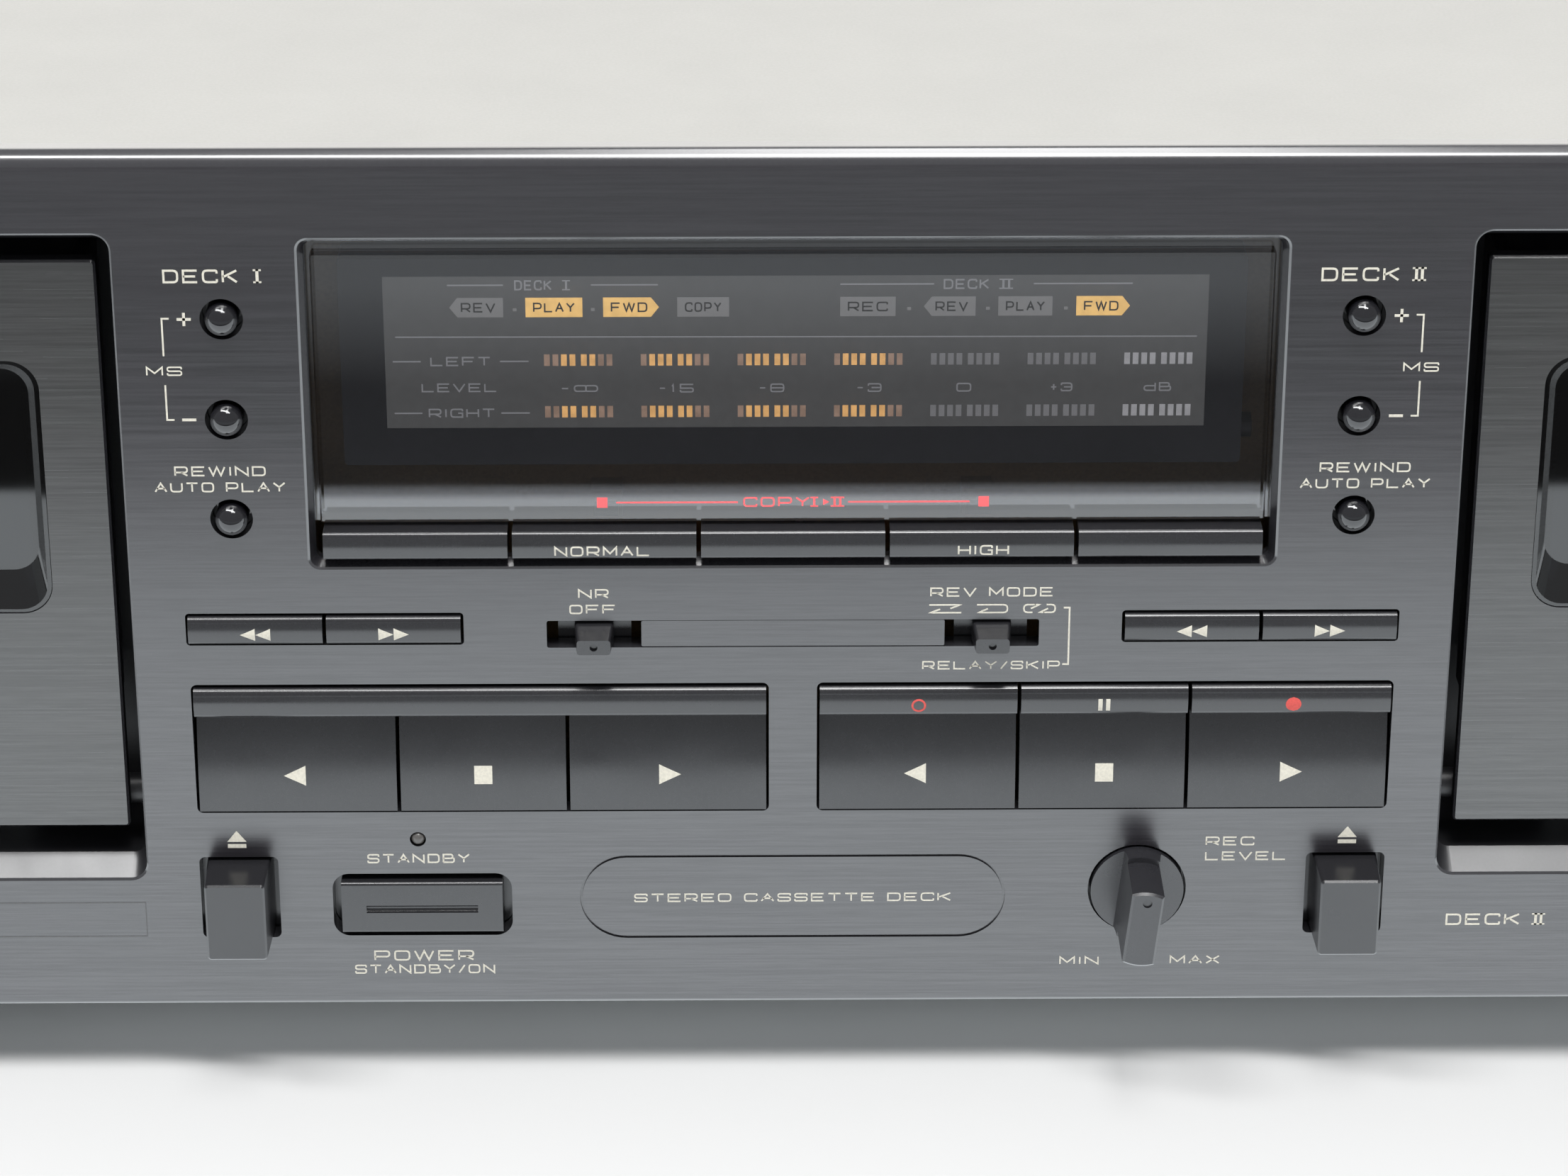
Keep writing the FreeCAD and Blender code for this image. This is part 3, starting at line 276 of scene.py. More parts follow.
COVER = moulded("cover_paint", (0.16, 0.16, 0.152), 0.36, grain=2600.0, deep=0.000002,
                uneven=0.04, wear=0.012, Metallic=0.55, Coat_Weight=0.4, Coat_Roughness=0.25)
ZINC = turned("chassis_zinc", (0.55, 0.56, 0.56), 0.4)
RUBBER = moulded("foot_rubber", (0.02, 0.02, 0.021), 0.7)
SCREW = turned("screw_black", (0.05, 0.05, 0.055), 0.35)
BOARD = moulded("board_laminate", (0.32, 0.2, 0.08), 0.55)
PART_DARK = moulded("board_parts", (0.03, 0.03, 0.035), 0.4)
IRON = moulded("core_iron", (0.12, 0.09, 0.07), 0.5, Metallic=0.3)
SOCKET = moulded("socket_black", (0.02, 0.02, 0.022), 0.4)
NICKEL = turned("sleeve_nickel", (0.62, 0.6, 0.56), 0.25)
CARRIER = moulded("carrier_black", (0.022, 0.022, 0.024), 0.38)
ACETAL = moulded("reel_acetal", (0.62, 0.61, 0.57), 0.4)
STEEL = turned("wheel_steel", (0.6, 0.6, 0.6), 0.3)
BRASS = turned("pulley_brass", (0.7, 0.52, 0.22), 0.3)
PLATE = turned("frame_steel", (0.5, 0.5, 0.5), 0.38)
BELT = moulded("belt_rubber", (0.018, 0.018, 0.018), 0.6)
CREAM = printed("ink_cream", (0.80, 0.77, 0.66))
RED = printed("ink_red", (0.78, 0.10, 0.085))
FILM = moulded("film_edge", (0.075, 0.075, 0.075), 0.3)
# The screen, grey print, unlit tags and unlit or pale bars glow though they are unlit: painted
# glow. Only the lit tags and bars are the tube's own glow.
SCREEN = lit("screen_grey_painted_glow", (0.105, 0.106, 0.102), 1.0, 0.9)
GREY_INK = lit("ink_grey_painted_glow", (0.32, 0.325, 0.33), 1.0, 0.95)
TAG_OFF = lit("tag_unlit_painted_glow", (0.27, 0.27, 0.26), 1.0, 0.95)
LENS_RED = lit("ink_red_lens_painted_glow", (0.95, 0.13, 0.14), 0.85, 0.95)
TAG_DARK = printed("tag_letters", (0.10, 0.09, 0.075))
TAG_LIT = lit("tag_lit", (1.0, 0.62, 0.19), 1.5, 0.85)
BAR_LIT = lit("bar_lit", (1.0, 0.56, 0.20), 1.35, 0.75)
BAR_EDGE = lit("bar_edge", (0.62, 0.42, 0.30), 0.8, 0.7)
BAR_OFF = lit("bar_unlit_painted_glow", (0.27, 0.27, 0.27), 1.0, 0.9)
BAR_PALE = lit("bar_pale_painted_glow", (0.52, 0.52, 0.52), 1.0, 0.85)

FINISH = {
    "front_panel": PANEL, "display_lens": LENS, "display_tube": TUBE, "trim_caps": KEY,
    "standby_lamp": LAMP, "top_cover": COVER, "base_chassis": ZINC, "feet": RUBBER,
    "case_screws": SCREW, "circuit_boards": BOARD, "transformer": IRON,
    "rear_sockets": SOCKET, "deck_frames": PLATE, "deck_motors": STEEL,
    "drive_belts": BELT, "level_knob": KNOB,
}
FINISH_BY_WORD = (
    ("_panel", DOOR), ("_window", WINDOW), ("_carrier", CARRIER), ("_reel", ACETAL),
    ("_capstan", STEEL), ("_pulley", BRASS), ("_bridge", PLATE), ("_search_", DOME),
    ("_auto_play", DOME),
)

# A face looks ahead, up or sideways when its normal passes these
AHEAD = -0.97
NEARLY_AHEAD = -0.9
UP = 0.3
SIDEWAYS = 0.95
BAY_FROM = 80.0
BAY_DEEP_FROM = 0.3
BAY_UNDER_TOP = 8.0
STRIP_INSET_LOW = 1.0
STRIP_INSET_HIGH = 0.5
SLEEVE_FROM = 0.4
BOARD_THICK = 1.6
BOARD_SKIN = 0.2
MAIN_BOARD_FROM = 50.0


def finish_nodes():
    for name, node in NODES.items():
        mat = FINISH.get(name, KEY)
        if name not in FINISH:
            for word, choice in FINISH_BY_WORD:
                if word in name:
                    mat = choice
        node.data.materials.clear()
        node.data.materials.append(mat)
    finish_front_panel()
    for door in ("door_1_panel", "door_2_panel"):
        part_finish(door, RIM, lambda centre, normal: normal.y > AHEAD)
        # The doors' sides get the near-black finish: painted shade.
        part_finish(door, CAVITY_SHADE, lambda centre, normal: abs(normal.x) > SIDEWAYS)
    # The frames' forward faces get the black carrier finish: painted shade where they show
    # through the gaps round the doors.
    part_finish("deck_frames", CARRIER, lambda centre, normal: normal.y < NEARLY_AHEAD)
    strip_low, strip_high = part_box("nr_slider")
    part_finish("trim_caps", PANEL, lambda centre, normal: (
        strip_low.z + STRIP_INSET_LOW * MM < centre.z < strip_high.z - STRIP_INSET_HIGH * MM))
    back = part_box("base_chassis")[1].y
    part_finish("rear_sockets", NICKEL,
                lambda centre, normal: centre.x < 0.0 and centre.y > back + SLEEVE_FROM * MM)
    board_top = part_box("circuit_boards")[0].z + (BOARD_THICK + BOARD_SKIN) * MM
    part_finish("circuit_boards", PART_DARK, lambda centre, normal: (
        centre.y > FACE_Y + MAIN_BOARD_FROM * MM and centre.z > board_top))


def finish_front_panel():
    # Bevels shine, the bays' inner walls get a near-black finish that paints the shade inside
    # them, and their lower ledges mirror the table.
    def in_bay(centre):
        return (abs(centre.x) > BAY_FROM * MM and centre.y > FACE_Y + BAY_DEEP_FROM * MM
                and centre.z < PANEL_HIGH.z - BAY_UNDER_TOP * MM)

    part_finish("front_panel", RIM, lambda centre, normal: normal.y > AHEAD)
    part_finish("front_panel", CAVITY_SHADE, lambda centre, normal: in_bay(centre) and normal.z < UP)
    part_finish("front_panel", LEDGE, lambda centre, normal: in_bay(centre) and normal.z > UP)


def part_finish(node, mat, test):
    # A second finish on those of the node's faces that the test picks.
    mesh = NODES[node].data
    mesh.materials.append(mat)
    for face in mesh.polygons:
        if test(face.center, face.normal):
            face.material_index = len(mesh.materials) - 1


# Flat print and small shapes, laid on the surface behind them

INK = 0.03
SINK = 0.012
CORNER_STEPS = 3
LONGEST_STEP = 0.5
RAY_START = -60.0
# Closer than these, in millimetres, a line is closed, or two of its points are one
TOUCHING = 1e-6
SAME_POINT = 1e-9
SHARPEST_MITRE = 0.45


def surface_of(node):
    mesh = NODES[node].data
    points = [v.co for v in mesh.vertices]
    return BVHTree.FromPolygons(points, [p.vertices for p in mesh.polygons])


SURFACES = {}


def depth_at(node, u, v):
    # How far behind the panel's face the node's front lies at that place.
    if node not in SURFACES:
        SURFACES[node] = surface_of(node)
    start = at(u, v, RAY_START)
    hit = SURFACES[node].ray_cast(start, Vector((0.0, 1.0, 0.0)))
    return (hit[0].y - FACE_Y) / MM if hit[0] is not None else 0.0


def rounded(points, radius):
    # Points are (x, y, round or not). Round corners become short arcs.
    result = []
    for i, (x, y, soft) in enumerate(points):
        if not soft or i in (0, len(points) - 1):
            result.append((x, y))
            continue
        before = Vector(points[i - 1][:2]) - Vector((x, y))
        after = Vector(points[i + 1][:2]) - Vector((x, y))
        reach = min(radius, before.length * 0.5, after.length * 0.5)
        first = Vector((x, y)) + before.normalized() * reach
        last = Vector((x, y)) + after.normalized() * reach
        for k in range(CORNER_STEPS + 1):
            t = k / CORNER_STEPS
            p = first * (1 - t) ** 2 + Vector((x, y)) * 2 * t * (1 - t) + last * t * t
            result.append((p.x, p.y))
    return result


def divided(points):
    result = [points[0]]
    for a, b in zip(points, points[1:]):
        count = max(1, math.ceil(math.dist(a, b) / LONGEST_STEP))
        for k in range(1, count + 1):
            t = k / count
            result.append((a[0] + (b[0] - a[0]) * t, a[1] + (b[1] - a[1]) * t))
    return result


def sides_of(points, width):
    # The left and right edge of a line of that width, with mitred corners.
    left, right = [], []
    closed = math.dist(points[0], points[-1]) < TOUCHING
    for i, p in enumerate(points):
        before = points[i - 1] if i else (points[-2] if closed else None)
        after = points[i + 1] if i + 1 < len(points) else (points[1] if closed else None)
        ways = []
        if before is not None and math.dist(before, p) > SAME_POINT:
            ways.append((Vector(p) - Vector(before)).normalized())
        if after is not None and math.dist(after, p) > SAME_POINT:
            ways.append((Vector(after) - Vector(p)).normalized())
        along = sum(ways, Vector((0.0, 0.0)))
        along = along.normalized() if along.length > TOUCHING else ways[0]
        across = Vector((-along.y, along.x))
        lean = abs(across.dot(Vector((-ways[0].y, ways[0].x))))
        reach = width / 2.0 / max(SHARPEST_MITRE, lean)
        left.append(Vector(p) + across * reach)
        right.append(Vector(p) - across * reach)
    return left, right


class Print:
    """One piece of flat print: strips of ink laid on a node, all of one finish."""

    def __init__(self, name, node, mat, flat=None, place=at):
        self.name = name
        self.place = place
        self.node = node
        self.mat = mat
        self.body = next(b for b, members in BODIES.items() if node in members)
        self.flat = flat
        self.points = []
        self.faces = []

    def depth(self, u, v):
        return self.flat if self.flat is not None else depth_at(self.node, u, v)

    def strip(self, left, right):
        # A closed ribbon between two edges, standing INK proud of the surface.
        start = len(self.points)
        for a, b in zip(left, right):
            for u, v in (a, b):
                d = self.depth(u, v)
                self.points.append(self.place(u, v, d - INK))
                self.points.append(self.place(u, v, d + SINK))
        last = start + 4 * (len(left) - 1)
        for i in range(start, last, 4):
            a, a2, b, b2 = i, i + 1, i + 2, i + 3
            c, c2, e, e2 = i + 4, i + 5, i + 6, i + 7
            self.faces += [(a, b, e, c), (a2, c2, e2, b2), (a, c, c2, a2), (b, b2, e2, e)]
        self.faces += [(start, start + 1, start + 3, start + 2),
                       (last, last + 2, last + 3, last + 1)]

    def line(self, points, width):
        points = divided(points)
        left, right = sides_of(points, width)
        self.strip([tuple(p) for p in left], [tuple(p) for p in right])

    def shape(self, v0, v1, edges, steps=6):
        # A filled shape: edges(t) gives its left and right side at a share of its height.
        left, right = [], []
        for k in range(steps + 1):
            t = k / steps
            u0, u1 = edges(t)
            left.append((u0, v0 + (v1 - v0) * t))
            right.append((u1, v0 + (v1 - v0) * t))
        self.strip(left, right)

    def box(self, u0, u1, v0, v1, steps=3):
        self.shape(v0, v1, lambda t: (u0, u1), steps)

    def text(self, words, u0, u1, v0, v1, weight=0.15):
        height = v1 - v0
        width = height * weight
        advance = 0.0
        spans = []
        for letter in words:
            wide = WIDTHS.get(letter, 1.0)
            spans.append((letter, advance, wide))
            advance += wide + LETTER_GAP
        scale = (u1 - u0) / (advance - LETTER_GAP)
        inner_v = v0 + width / 2.0
        inner_h = height - width
        for letter, start, wide in spans:
            left = u0 + start * scale + width / 2.0
            inner_w = wide * scale - width
            for stroke in GLYPHS.get(letter, ()):
                points = [(left + x / GRID * inner_w, inner_v + y / GRID * inner_h, soft)
                          for x, y, soft in stroke]
                self.line(rounded(points, inner_h * CORNER_SHARE), width)

    def make(self):
        mesh = bpy.data.meshes.new(self.name)
        mesh.from_pydata(self.points, [], self.faces)
        mesh.update()
        piece = bpy.data.objects.new(self.name, mesh)
        bpy.context.scene.collection.objects.link(piece)
        mesh.materials.append(self.mat)
        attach(piece, self.body)
        return piece


# A wide squared alphabet. Each stroke is a row of points on a grid of 0 to 8,
# and r after a point rounds that corner.

GRID = 8.0
CORNER_SHARE = 0.34
LETTER_GAP = 0.24
WIDTHS = {"I": 0.2, " ": 0.45, "-": 0.6, "1": 0.45, "W": 1.25, "M": 1.1, "/": 0.6,
          "+": 0.7, "o": 1.5}
STROKES = {
    "A": "00 48 80/13 73", "B": "00 08 78r 74r 04/74r 84r 80r 00", "C": "86 88r 08r 00r 80r 82",
    "D": "00 08 88r 80r 00", "E": "88 08 00 80/04 74", "F": "88 08 00/04 74",
    "G": "86 88r 08r 00r 80 84 54", "H": "00 08/80 88/04 84", "I": "40 48",
    "K": "00 08/88 14 04/34 80", "L": "08 00 80", "M": "00 08 42 88 80",
    "N": "00 08 80 88", "O": "04 08r 88r 80r 00r 04", "P": "00 08 88r 83r 03",
    "R": "00 08 88r 83r 03/43 80", "S": "86 88r 08r 04r 84r 80r 00r 02",
    "T": "08 88/48 40", "U": "08 00r 80r 88", "V": "08 40 88", "W": "08 20 48 60 88",
    "X": "00 88/08 80", "Y": "08 44 88/44 40", "0": "04 08r 88r 80r 00r 04",
    "1": "26 48 40", "3": "06 08r 88r 80r 00r 02/24 84",
    "5": "88 08 04 84r 80r 00r 02", "8": "04 08r 88r 80r 00r 04/04 84",
    "-": "14 74", "+": "14 74/41 47", "/": "00 88",
    "o": "44 47r 07r 01r 41r 44/44 47r 87r 81r 41r 44", "d": "88 80 00r 05r 85",
}


def parse(strokes):
    result = []
    for stroke in strokes.split("/"):
        result.append([(int(p[0]), int(p[1]), p.endswith("r")) for p in stroke.split()])
    return result


GLYPHS = {letter: parse(strokes) for letter, strokes in STROKES.items()}

# The numerals on the decks have small feet. A doubled one is two of them side by side.
NUMERAL_W = 1.0
NUMERAL_PITCH = 0.72
NUMERAL_THICK = 0.17
NUMERAL_STEM_HALF = 0.6
NUMERAL_FOOT = 0.7


def numeral(ink, count, u1, v0, v1):
    # Roman one or two, its right edge at u1.
    thick = (v1 - v0) * NUMERAL_THICK
    stem = thick * NUMERAL_STEM_HALF
    foot = thick * NUMERAL_FOOT
    for k in range(count):
        u = u1 - NUMERAL_W / 2.0 - k * NUMERAL_PITCH
        ink.box(u - stem, u + stem, v0, v1)
    left = u1 - NUMERAL_W - (count - 1) * NUMERAL_PITCH
    for v in (v0, v1 - foot):
        ink.box(left, u1, v, v + foot, 1)


# Print on the front panel

SIGN_STROKE = 0.35
SIGN_HALF = 0.88
SIGN_OUT = 4.65
BRACKET_STROKE = 0.22
BRACKET_OUT = 78.4
BRACKET_TICK = 77.5
BRACKET_RISE = 0.1
BRACKET_ENDS = (88.7, 92.6)
NUMERAL_ROOM = 2.2
# left, right, foot, top, deck, gap before the numeral
DECK_SIGNS = (
    (-78.0, -65.8, 102.3, 104.1, 1, 0.7), (65.4, 78.4, 102.1, 103.9, 2, 1.1),
    (86.1, 99.2, 11.2, 12.9, 2, 1.1),
)
# words, nearer and farther end from the middle, foot, top: the same on both sides
SIDE_WORDS = (
    ("MS", 76.2, 80.7, 89.95, 91.2), ("REWIND", 66.4, 77.9, 76.3, 77.65),
    ("AUTO PLAY", 64.0, 80.5, 74.1, 75.45),
)
# words, left, right, foot, top
PANEL_WORDS = (
    ("NR", -27.4, -23.5, 59.15, 60.45), ("OFF", -28.55, -22.65, 56.95, 58.25),
    ("REV MODE", 17.5, 33.2, 59.2, 60.5), ("RELAY/SKIP", 16.6, 34.3, 48.9, 50.1),
    ("STANDBY", -55.6, -42.2, 21.1, 22.45), ("POWER", -55.2, -42.0, 6.55, 8.1),
    ("STANDBY/ON", -57.8, -39.3, 4.6, 5.95), ("REC", 54.0, 60.4, 23.2, 24.5),
    ("LEVEL", 54.0, 64.6, 21.0, 22.3), ("MIN", 35.3, 40.5, 5.5, 6.75),
    ("MAX", 49.9, 56.5, 5.55, 6.8), ("STEREO CASSETTE DECK", -20.8, 20.8, 15.15, 16.4),
)
MODE_BRACKET = ((34.6, 57.6), (35.35, 57.6), (35.35, 49.6), (34.6, 49.6))
FILM_OUTLINE = ((-150.0, 15.4), (-84.9, 15.4), (-84.9, 10.4), (-150.0, 10.4))
FILM_STROKE = 0.14


def panel_print():
    ink = Print("panel_lettering", "front_panel", CREAM, flat=0.0)
    for left, right, low, high, deck, gap in DECK_SIGNS:
        ink.text("DECK", left, right - NUMERAL_ROOM - gap, low, high)
        numeral(ink, deck, right, low, high)
    for side, deck in ((-1, "deck_1_"), (1, "deck_2_")):
        search_signs(ink, side, deck)
        for words, near, far, low, high in SIDE_WORDS:
            left, right = sorted((side * near, side * far))
            ink.text(words, left, right, low, high)
        eject_label(ink, side * EJECT_U)
    for words, left, right, low, high in PANEL_WORDS:
        ink.text(words, left, right, low, high)
    ink.line(list(MODE_BRACKET), BRACKET_STROKE)
    loop_signs(ink)
    ink.make()
    film = Print("film_outline", "front_panel", FILM, flat=0.0)
    film.line(list(FILM_OUTLINE), FILM_STROKE)
    film.make()


def search_signs(ink, side, deck):
    # Plus, minus and the bracket that joins them, outside a deck's domed buttons.
    dome_u, plus_v = middle(deck + "search_plus")
    minus_v = middle(deck + "search_minus")[1]
    sign = dome_u + side * SIGN_OUT
    out = side * BRACKET_OUT
    tick = side * BRACKET_TICK
    low_end, high_end = BRACKET_ENDS
    ink.line([(sign - SIGN_HALF, plus_v), (sign + SIGN_HALF, plus_v)], SIGN_STROKE)
    ink.line([(sign, plus_v - SIGN_HALF), (sign, plus_v + SIGN_HALF)], SIGN_STROKE)
    ink.line([(sign - SIGN_HALF, minus_v), (sign + SIGN_HALF, minus_v)], SIGN_STROKE)
    ink.line([(tick, plus_v + BRACKET_RISE), (out, plus_v + BRACKET_RISE), (out, high_end)],
             BRACKET_STROKE)
    ink.line([(tick, minus_v), (out, minus_v), (out, low_end)], BRACKET_STROKE)


EJECT_U = 72.5
EJECT_HALF = 1.2
EJECT_TIP = 0.04
EJECT_ARROW = (24.35, 25.9)
EJECT_BAR = (23.45, 24.0)


def eject_label(ink, u):
    def edges(t):
        reach = EJECT_HALF * (1 - t) + EJECT_TIP
        return u - reach, u + reach
    ink.shape(*EJECT_ARROW, edges)
    ink.box(u - EJECT_HALF, u + EJECT_HALF, *EJECT_BAR, 1)


LOOP_STROKE = 0.2
LOOP_CORNER = 0.5
LOOP_LOW = 56.95
LOOP_HIGH = 58.05
BARB = 0.5
BENT_BARB = 0.55


def loop_signs(ink):
    # Three signs from left to right: one way, once round, and round and round.
    low, high = LOOP_LOW, LOOP_HIGH
    straight = (
        [(17.4, high), (20.6, high)],
        [(18.3, low), (21.5, low)],
        [(20.1, high - BARB), (21.4, high), (20.6, high)],
        [(18.8, low + BARB), (17.5, low), (18.3, low)],
        [(24.9, low + BENT_BARB), (23.7, low), (24.6, low)],
        [(30.4, high - BENT_BARB), (31.5, high), (30.9, high)],
        [(32.6, low + BENT_BARB), (31.5, low), (32.1, low)],
    )
    bent = (
        [(23.5, high, False), (27.4, high, True), (27.4, low, True), (24.6, low, False)],
        [(31.0, high, False), (29.5, high, True), (29.5, low, True), (30.6, low, False)],
        [(32.0, low, False), (33.5, low, True), (33.5, high, True), (32.4, high, False)],
    )
    for points in straight:
        ink.line(points, LOOP_STROKE)
    for points in bent:
        ink.line(rounded(points, LOOP_CORNER), LOOP_STROKE)


# Print on the back, read from behind: u runs the other way there

BACK_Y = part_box("base_chassis")[1].y
JACK_U = 150.0
JACK_V = 62.0
JACK_HALF = 8.0
JACK_RULE = (-17.0, 15.0)
RING_R = 5.6
RING_W = 1.5
# words, left, right, foot, top, all from the middle of the four sockets
JACK_WORDS = (
    ("LINE", -5.5, 5.5, 21.0, 23.0),
    ("L", -JACK_HALF - 0.7, -JACK_HALF + 0.9, 16.6, 18.4),
    ("R", JACK_HALF - 0.9, JACK_HALF + 0.9, 16.6, 18.4),
    ("OUT", 16.5, 22.5, JACK_HALF - 1.0, JACK_HALF + 1.0),
    ("IN", 16.5, 19.5, -JACK_HALF - 1.0, -JACK_HALF + 1.0),
)
INLET_U = -160.0
INLET_V = 32.0
INLET_WORD_HALF = 6.0
INLET_WORD_RISE = (12.0, 14.0)


def at_back(u, v, d=0.0):
    return Vector((-u * MM, BACK_Y - d * MM, BASE_Z + v * MM))


def back_print():
    ink = Print("back_lettering", "base_chassis", CREAM, flat=0.0, place=at_back)
    for words, left, right, low, high in JACK_WORDS:
        ink.text(words, JACK_U + left, JACK_U + right, JACK_V + low, JACK_V + high)
    ink.line([(JACK_U + reach, JACK_V) for reach in JACK_RULE], BRACKET_STROKE)
    low, high = INLET_WORD_RISE
    ink.text("AC IN", INLET_U - INLET_WORD_HALF, INLET_U + INLET_WORD_HALF,
             INLET_V + low, INLET_V + high)
    ink.make()
    for name, mat, u in (("white_rings", CREAM, JACK_U - JACK_HALF),
                         ("red_rings", RED, JACK_U + JACK_HALF)):
        rings = Print(name, "base_chassis", mat, flat=0.0, place=at_back)
        for v in (JACK_V - JACK_HALF, JACK_V + JACK_HALF):
            ring(rings, u, v, RING_R, RING_W)
        rings.make()


# Signs on the keys

KEY_SIGN = 1.36
KEY_SIGN_DROP = 1.65
KEY_ARROW_SHARE = 1.04
KEY_SQUARE_SHARE = 0.86
KEY_SQUARE_TALL = 1.08
# How far each big key's sign sits to the right of the key's middle
KEY_SIGN_SHIFT = {"deck_1_reverse": -0.35, "deck_1_stop": 0.0, "deck_1_play": 0.25,
                  "deck_2_reverse": -0.3, "deck_2_stop": 0.3, "deck_2_play": 0.5}
WIND_SIGN = 0.85
WIND_SIGN_DROP = 0.35
WIND_ARROW_SHARE = 1.12
WIND_ARROW_OUT = 0.98
# key, words, left, right
CAP_WORDS = (("copy_normal_key", "NORMAL", -30.3, -18.2), ("copy_high_key", "HIGH", 20.9, 27.4))
CAP_WORD_DROP = 0.62
CAP_WORD_HALF = 0.72
ROW_SIGN_DROP = 0.4
MUTE_U = 16.2
MUTE_RING = (0.82, 0.26)
PAUSE_U = 40.1
PAUSE_BAR_OUT = 0.5
PAUSE_BAR_HALF = (0.27, 0.85)
RECORD_U = 64.5
RECORD_DOT_R = 1.0
TRIANGLE_SHARE = 0.92
TRIANGLE_TIP = 0.05
TRIANGLE_STEPS = 10
RING_TURNS = 24
DISC_TIP = 0.03
DISC_STEPS = 12
SQUARE_STEPS = 6


def triangle(ink, u, v, half, way, share=TRIANGLE_SHARE):
    # A filled triangle that points left or right.
    def edges(t):
        reach = (1.0 - abs(2.0 * t - 1.0)) * 2.0 * half * share
        back = u - way * half * share
        tip = back + way * max(reach, TRIANGLE_TIP)
        return min(back, tip), max(back, tip)
    ink.shape(v - half, v + half, edges, TRIANGLE_STEPS)


def ring(ink, u, v, radius, width):
    points = []
    for k in range(RING_TURNS + 1):
        angle = 2 * math.pi * k / RING_TURNS
        points.append((u + radius * math.cos(angle), v + radius * math.sin(angle)))
    ink.line(points, width)


def disc(ink, u, v, radius):
    def edges(t):
        half = max(radius * math.sqrt(max(0.0, 1.0 - (2.0 * t - 1.0) ** 2)), DISC_TIP)
        return u - half, u + half
    ink.shape(v - radius, v + radius, edges, DISC_STEPS)


def key_print():
    for deck in ("deck_1_", "deck_2_"):
        for word, way in (("reverse", -1), ("stop", 0), ("play", 1)):
            big_key_sign(deck + word, way)
        for word, way in (("rewind", -1), ("forward", 1)):
            wind_key_sign(deck + word + "_key", way)
    for node, words, left, right in CAP_WORDS:
        ink = Print(node + "_sign", node, CREAM)
        v = middle(node)[1] - CAP_WORD_DROP
        ink.text(words, left, right, v - CAP_WORD_HALF, v + CAP_WORD_HALF)
        ink.make()
    row_signs(middle("pause_key")[1] - ROW_SIGN_DROP)


def big_key_sign(key, way):
    node = key + "_key"
    ink = Print(node + "_sign", node, CREAM)
    u, v = middle(node)
    u += KEY_SIGN_SHIFT[key]
    v -= KEY_SIGN_DROP
    if way:
        triangle(ink, u, v, KEY_SIGN, way, KEY_ARROW_SHARE)
    else:
        half = KEY_SIGN * KEY_SQUARE_SHARE
        tall = half * KEY_SQUARE_TALL
        ink.box(u - half, u + half, v - tall, v + tall, SQUARE_STEPS)
    ink.make()


def wind_key_sign(node, way):
    ink = Print(node + "_sign", node, CREAM)
    u, v = middle(node)
    for side in (-1, 1):
        triangle(ink, u + side * WIND_ARROW_OUT, v - WIND_SIGN_DROP, WIND_SIGN, way,
                 WIND_ARROW_SHARE)
    ink.make()


def row_signs(v):
    # Mute, pause and record, along the row over deck 2's keys.
    ink = Print("record_mute_key_sign", "record_mute_key", RED)
    ring(ink, MUTE_U, v, *MUTE_RING)
    ink.make()
    ink = Print("pause_key_sign", "pause_key", CREAM)
    half_w, half_h = PAUSE_BAR_HALF
    for side in (-1, 1):
        u = PAUSE_U + side * PAUSE_BAR_OUT
        ink.box(u - half_w, u + half_w, v - half_h, v + half_h)
    ink.make()
    ink = Print("record_key_sign", "record_key", RED)
    disc(ink, RECORD_U, v, RECORD_DOT_R)
    ink.make()


# Display: print on the smoked lens, and the lit tube behind it

LENS_D = 2.0
TUBE_D = 6.4
SCREEN_D = TUBE_D - INK
SCREEN_BOX = (-51.4, 52.2, 80.1, 100.6)
COPY_LOW = 70.95
COPY_HIGH = 72.3
COPY_MIDDLE = 71.6
COPY_RULE = (7.0, 22.4)
COPY_RULE_W = 0.2
COPY_SQUARE_U = 24.2
COPY_SQUARE_HALF = 0.66
COPY_SQUARE_LOW = 70.9
COPY_WORD = (-6.3, 2.1)
COPY_ONE_U = 3.2
COPY_ARROW_U = 4.2
COPY_ARROW_HALF = 0.42
COPY_TWO_U = 6.5


def lens_print():
    # The red ink on the lens carries a painted glow.
    ink = Print("lens_red_print", "display_lens", LENS_RED, flat=LENS_D)
    for side in (-1, 1):
        u = side * COPY_SQUARE_U
        ink.box(u - COPY_SQUARE_HALF, u + COPY_SQUARE_HALF, COPY_SQUARE_LOW, COPY_HIGH, 1)
    near, far = COPY_RULE
    for left, right in ((-far, -near), (near, far)):
        ink.line([(left, COPY_MIDDLE), (right, COPY_MIDDLE)], COPY_RULE_W)
    ink.text("COPY", *COPY_WORD, COPY_LOW, COPY_HIGH)
    numeral(ink, 1, COPY_ONE_U, COPY_LOW, COPY_HIGH)
    triangle(ink, COPY_ARROW_U, COPY_MIDDLE, COPY_ARROW_HALF, 1)
    numeral(ink, 2, COPY_TWO_U, COPY_LOW, COPY_HIGH)
    piece = ink.make()
    piece.visible_shadow = False
    piece.visible_glossy = False


TAG_LOW = 95.15
TAG_HIGH = 97.75
TAG_POINT = 1.0
TAG_INSET = 0.95
TAG_POINT_INSET = 0.5
TAG_WORD_INSET = 0.65
TAG_STEPS = 4
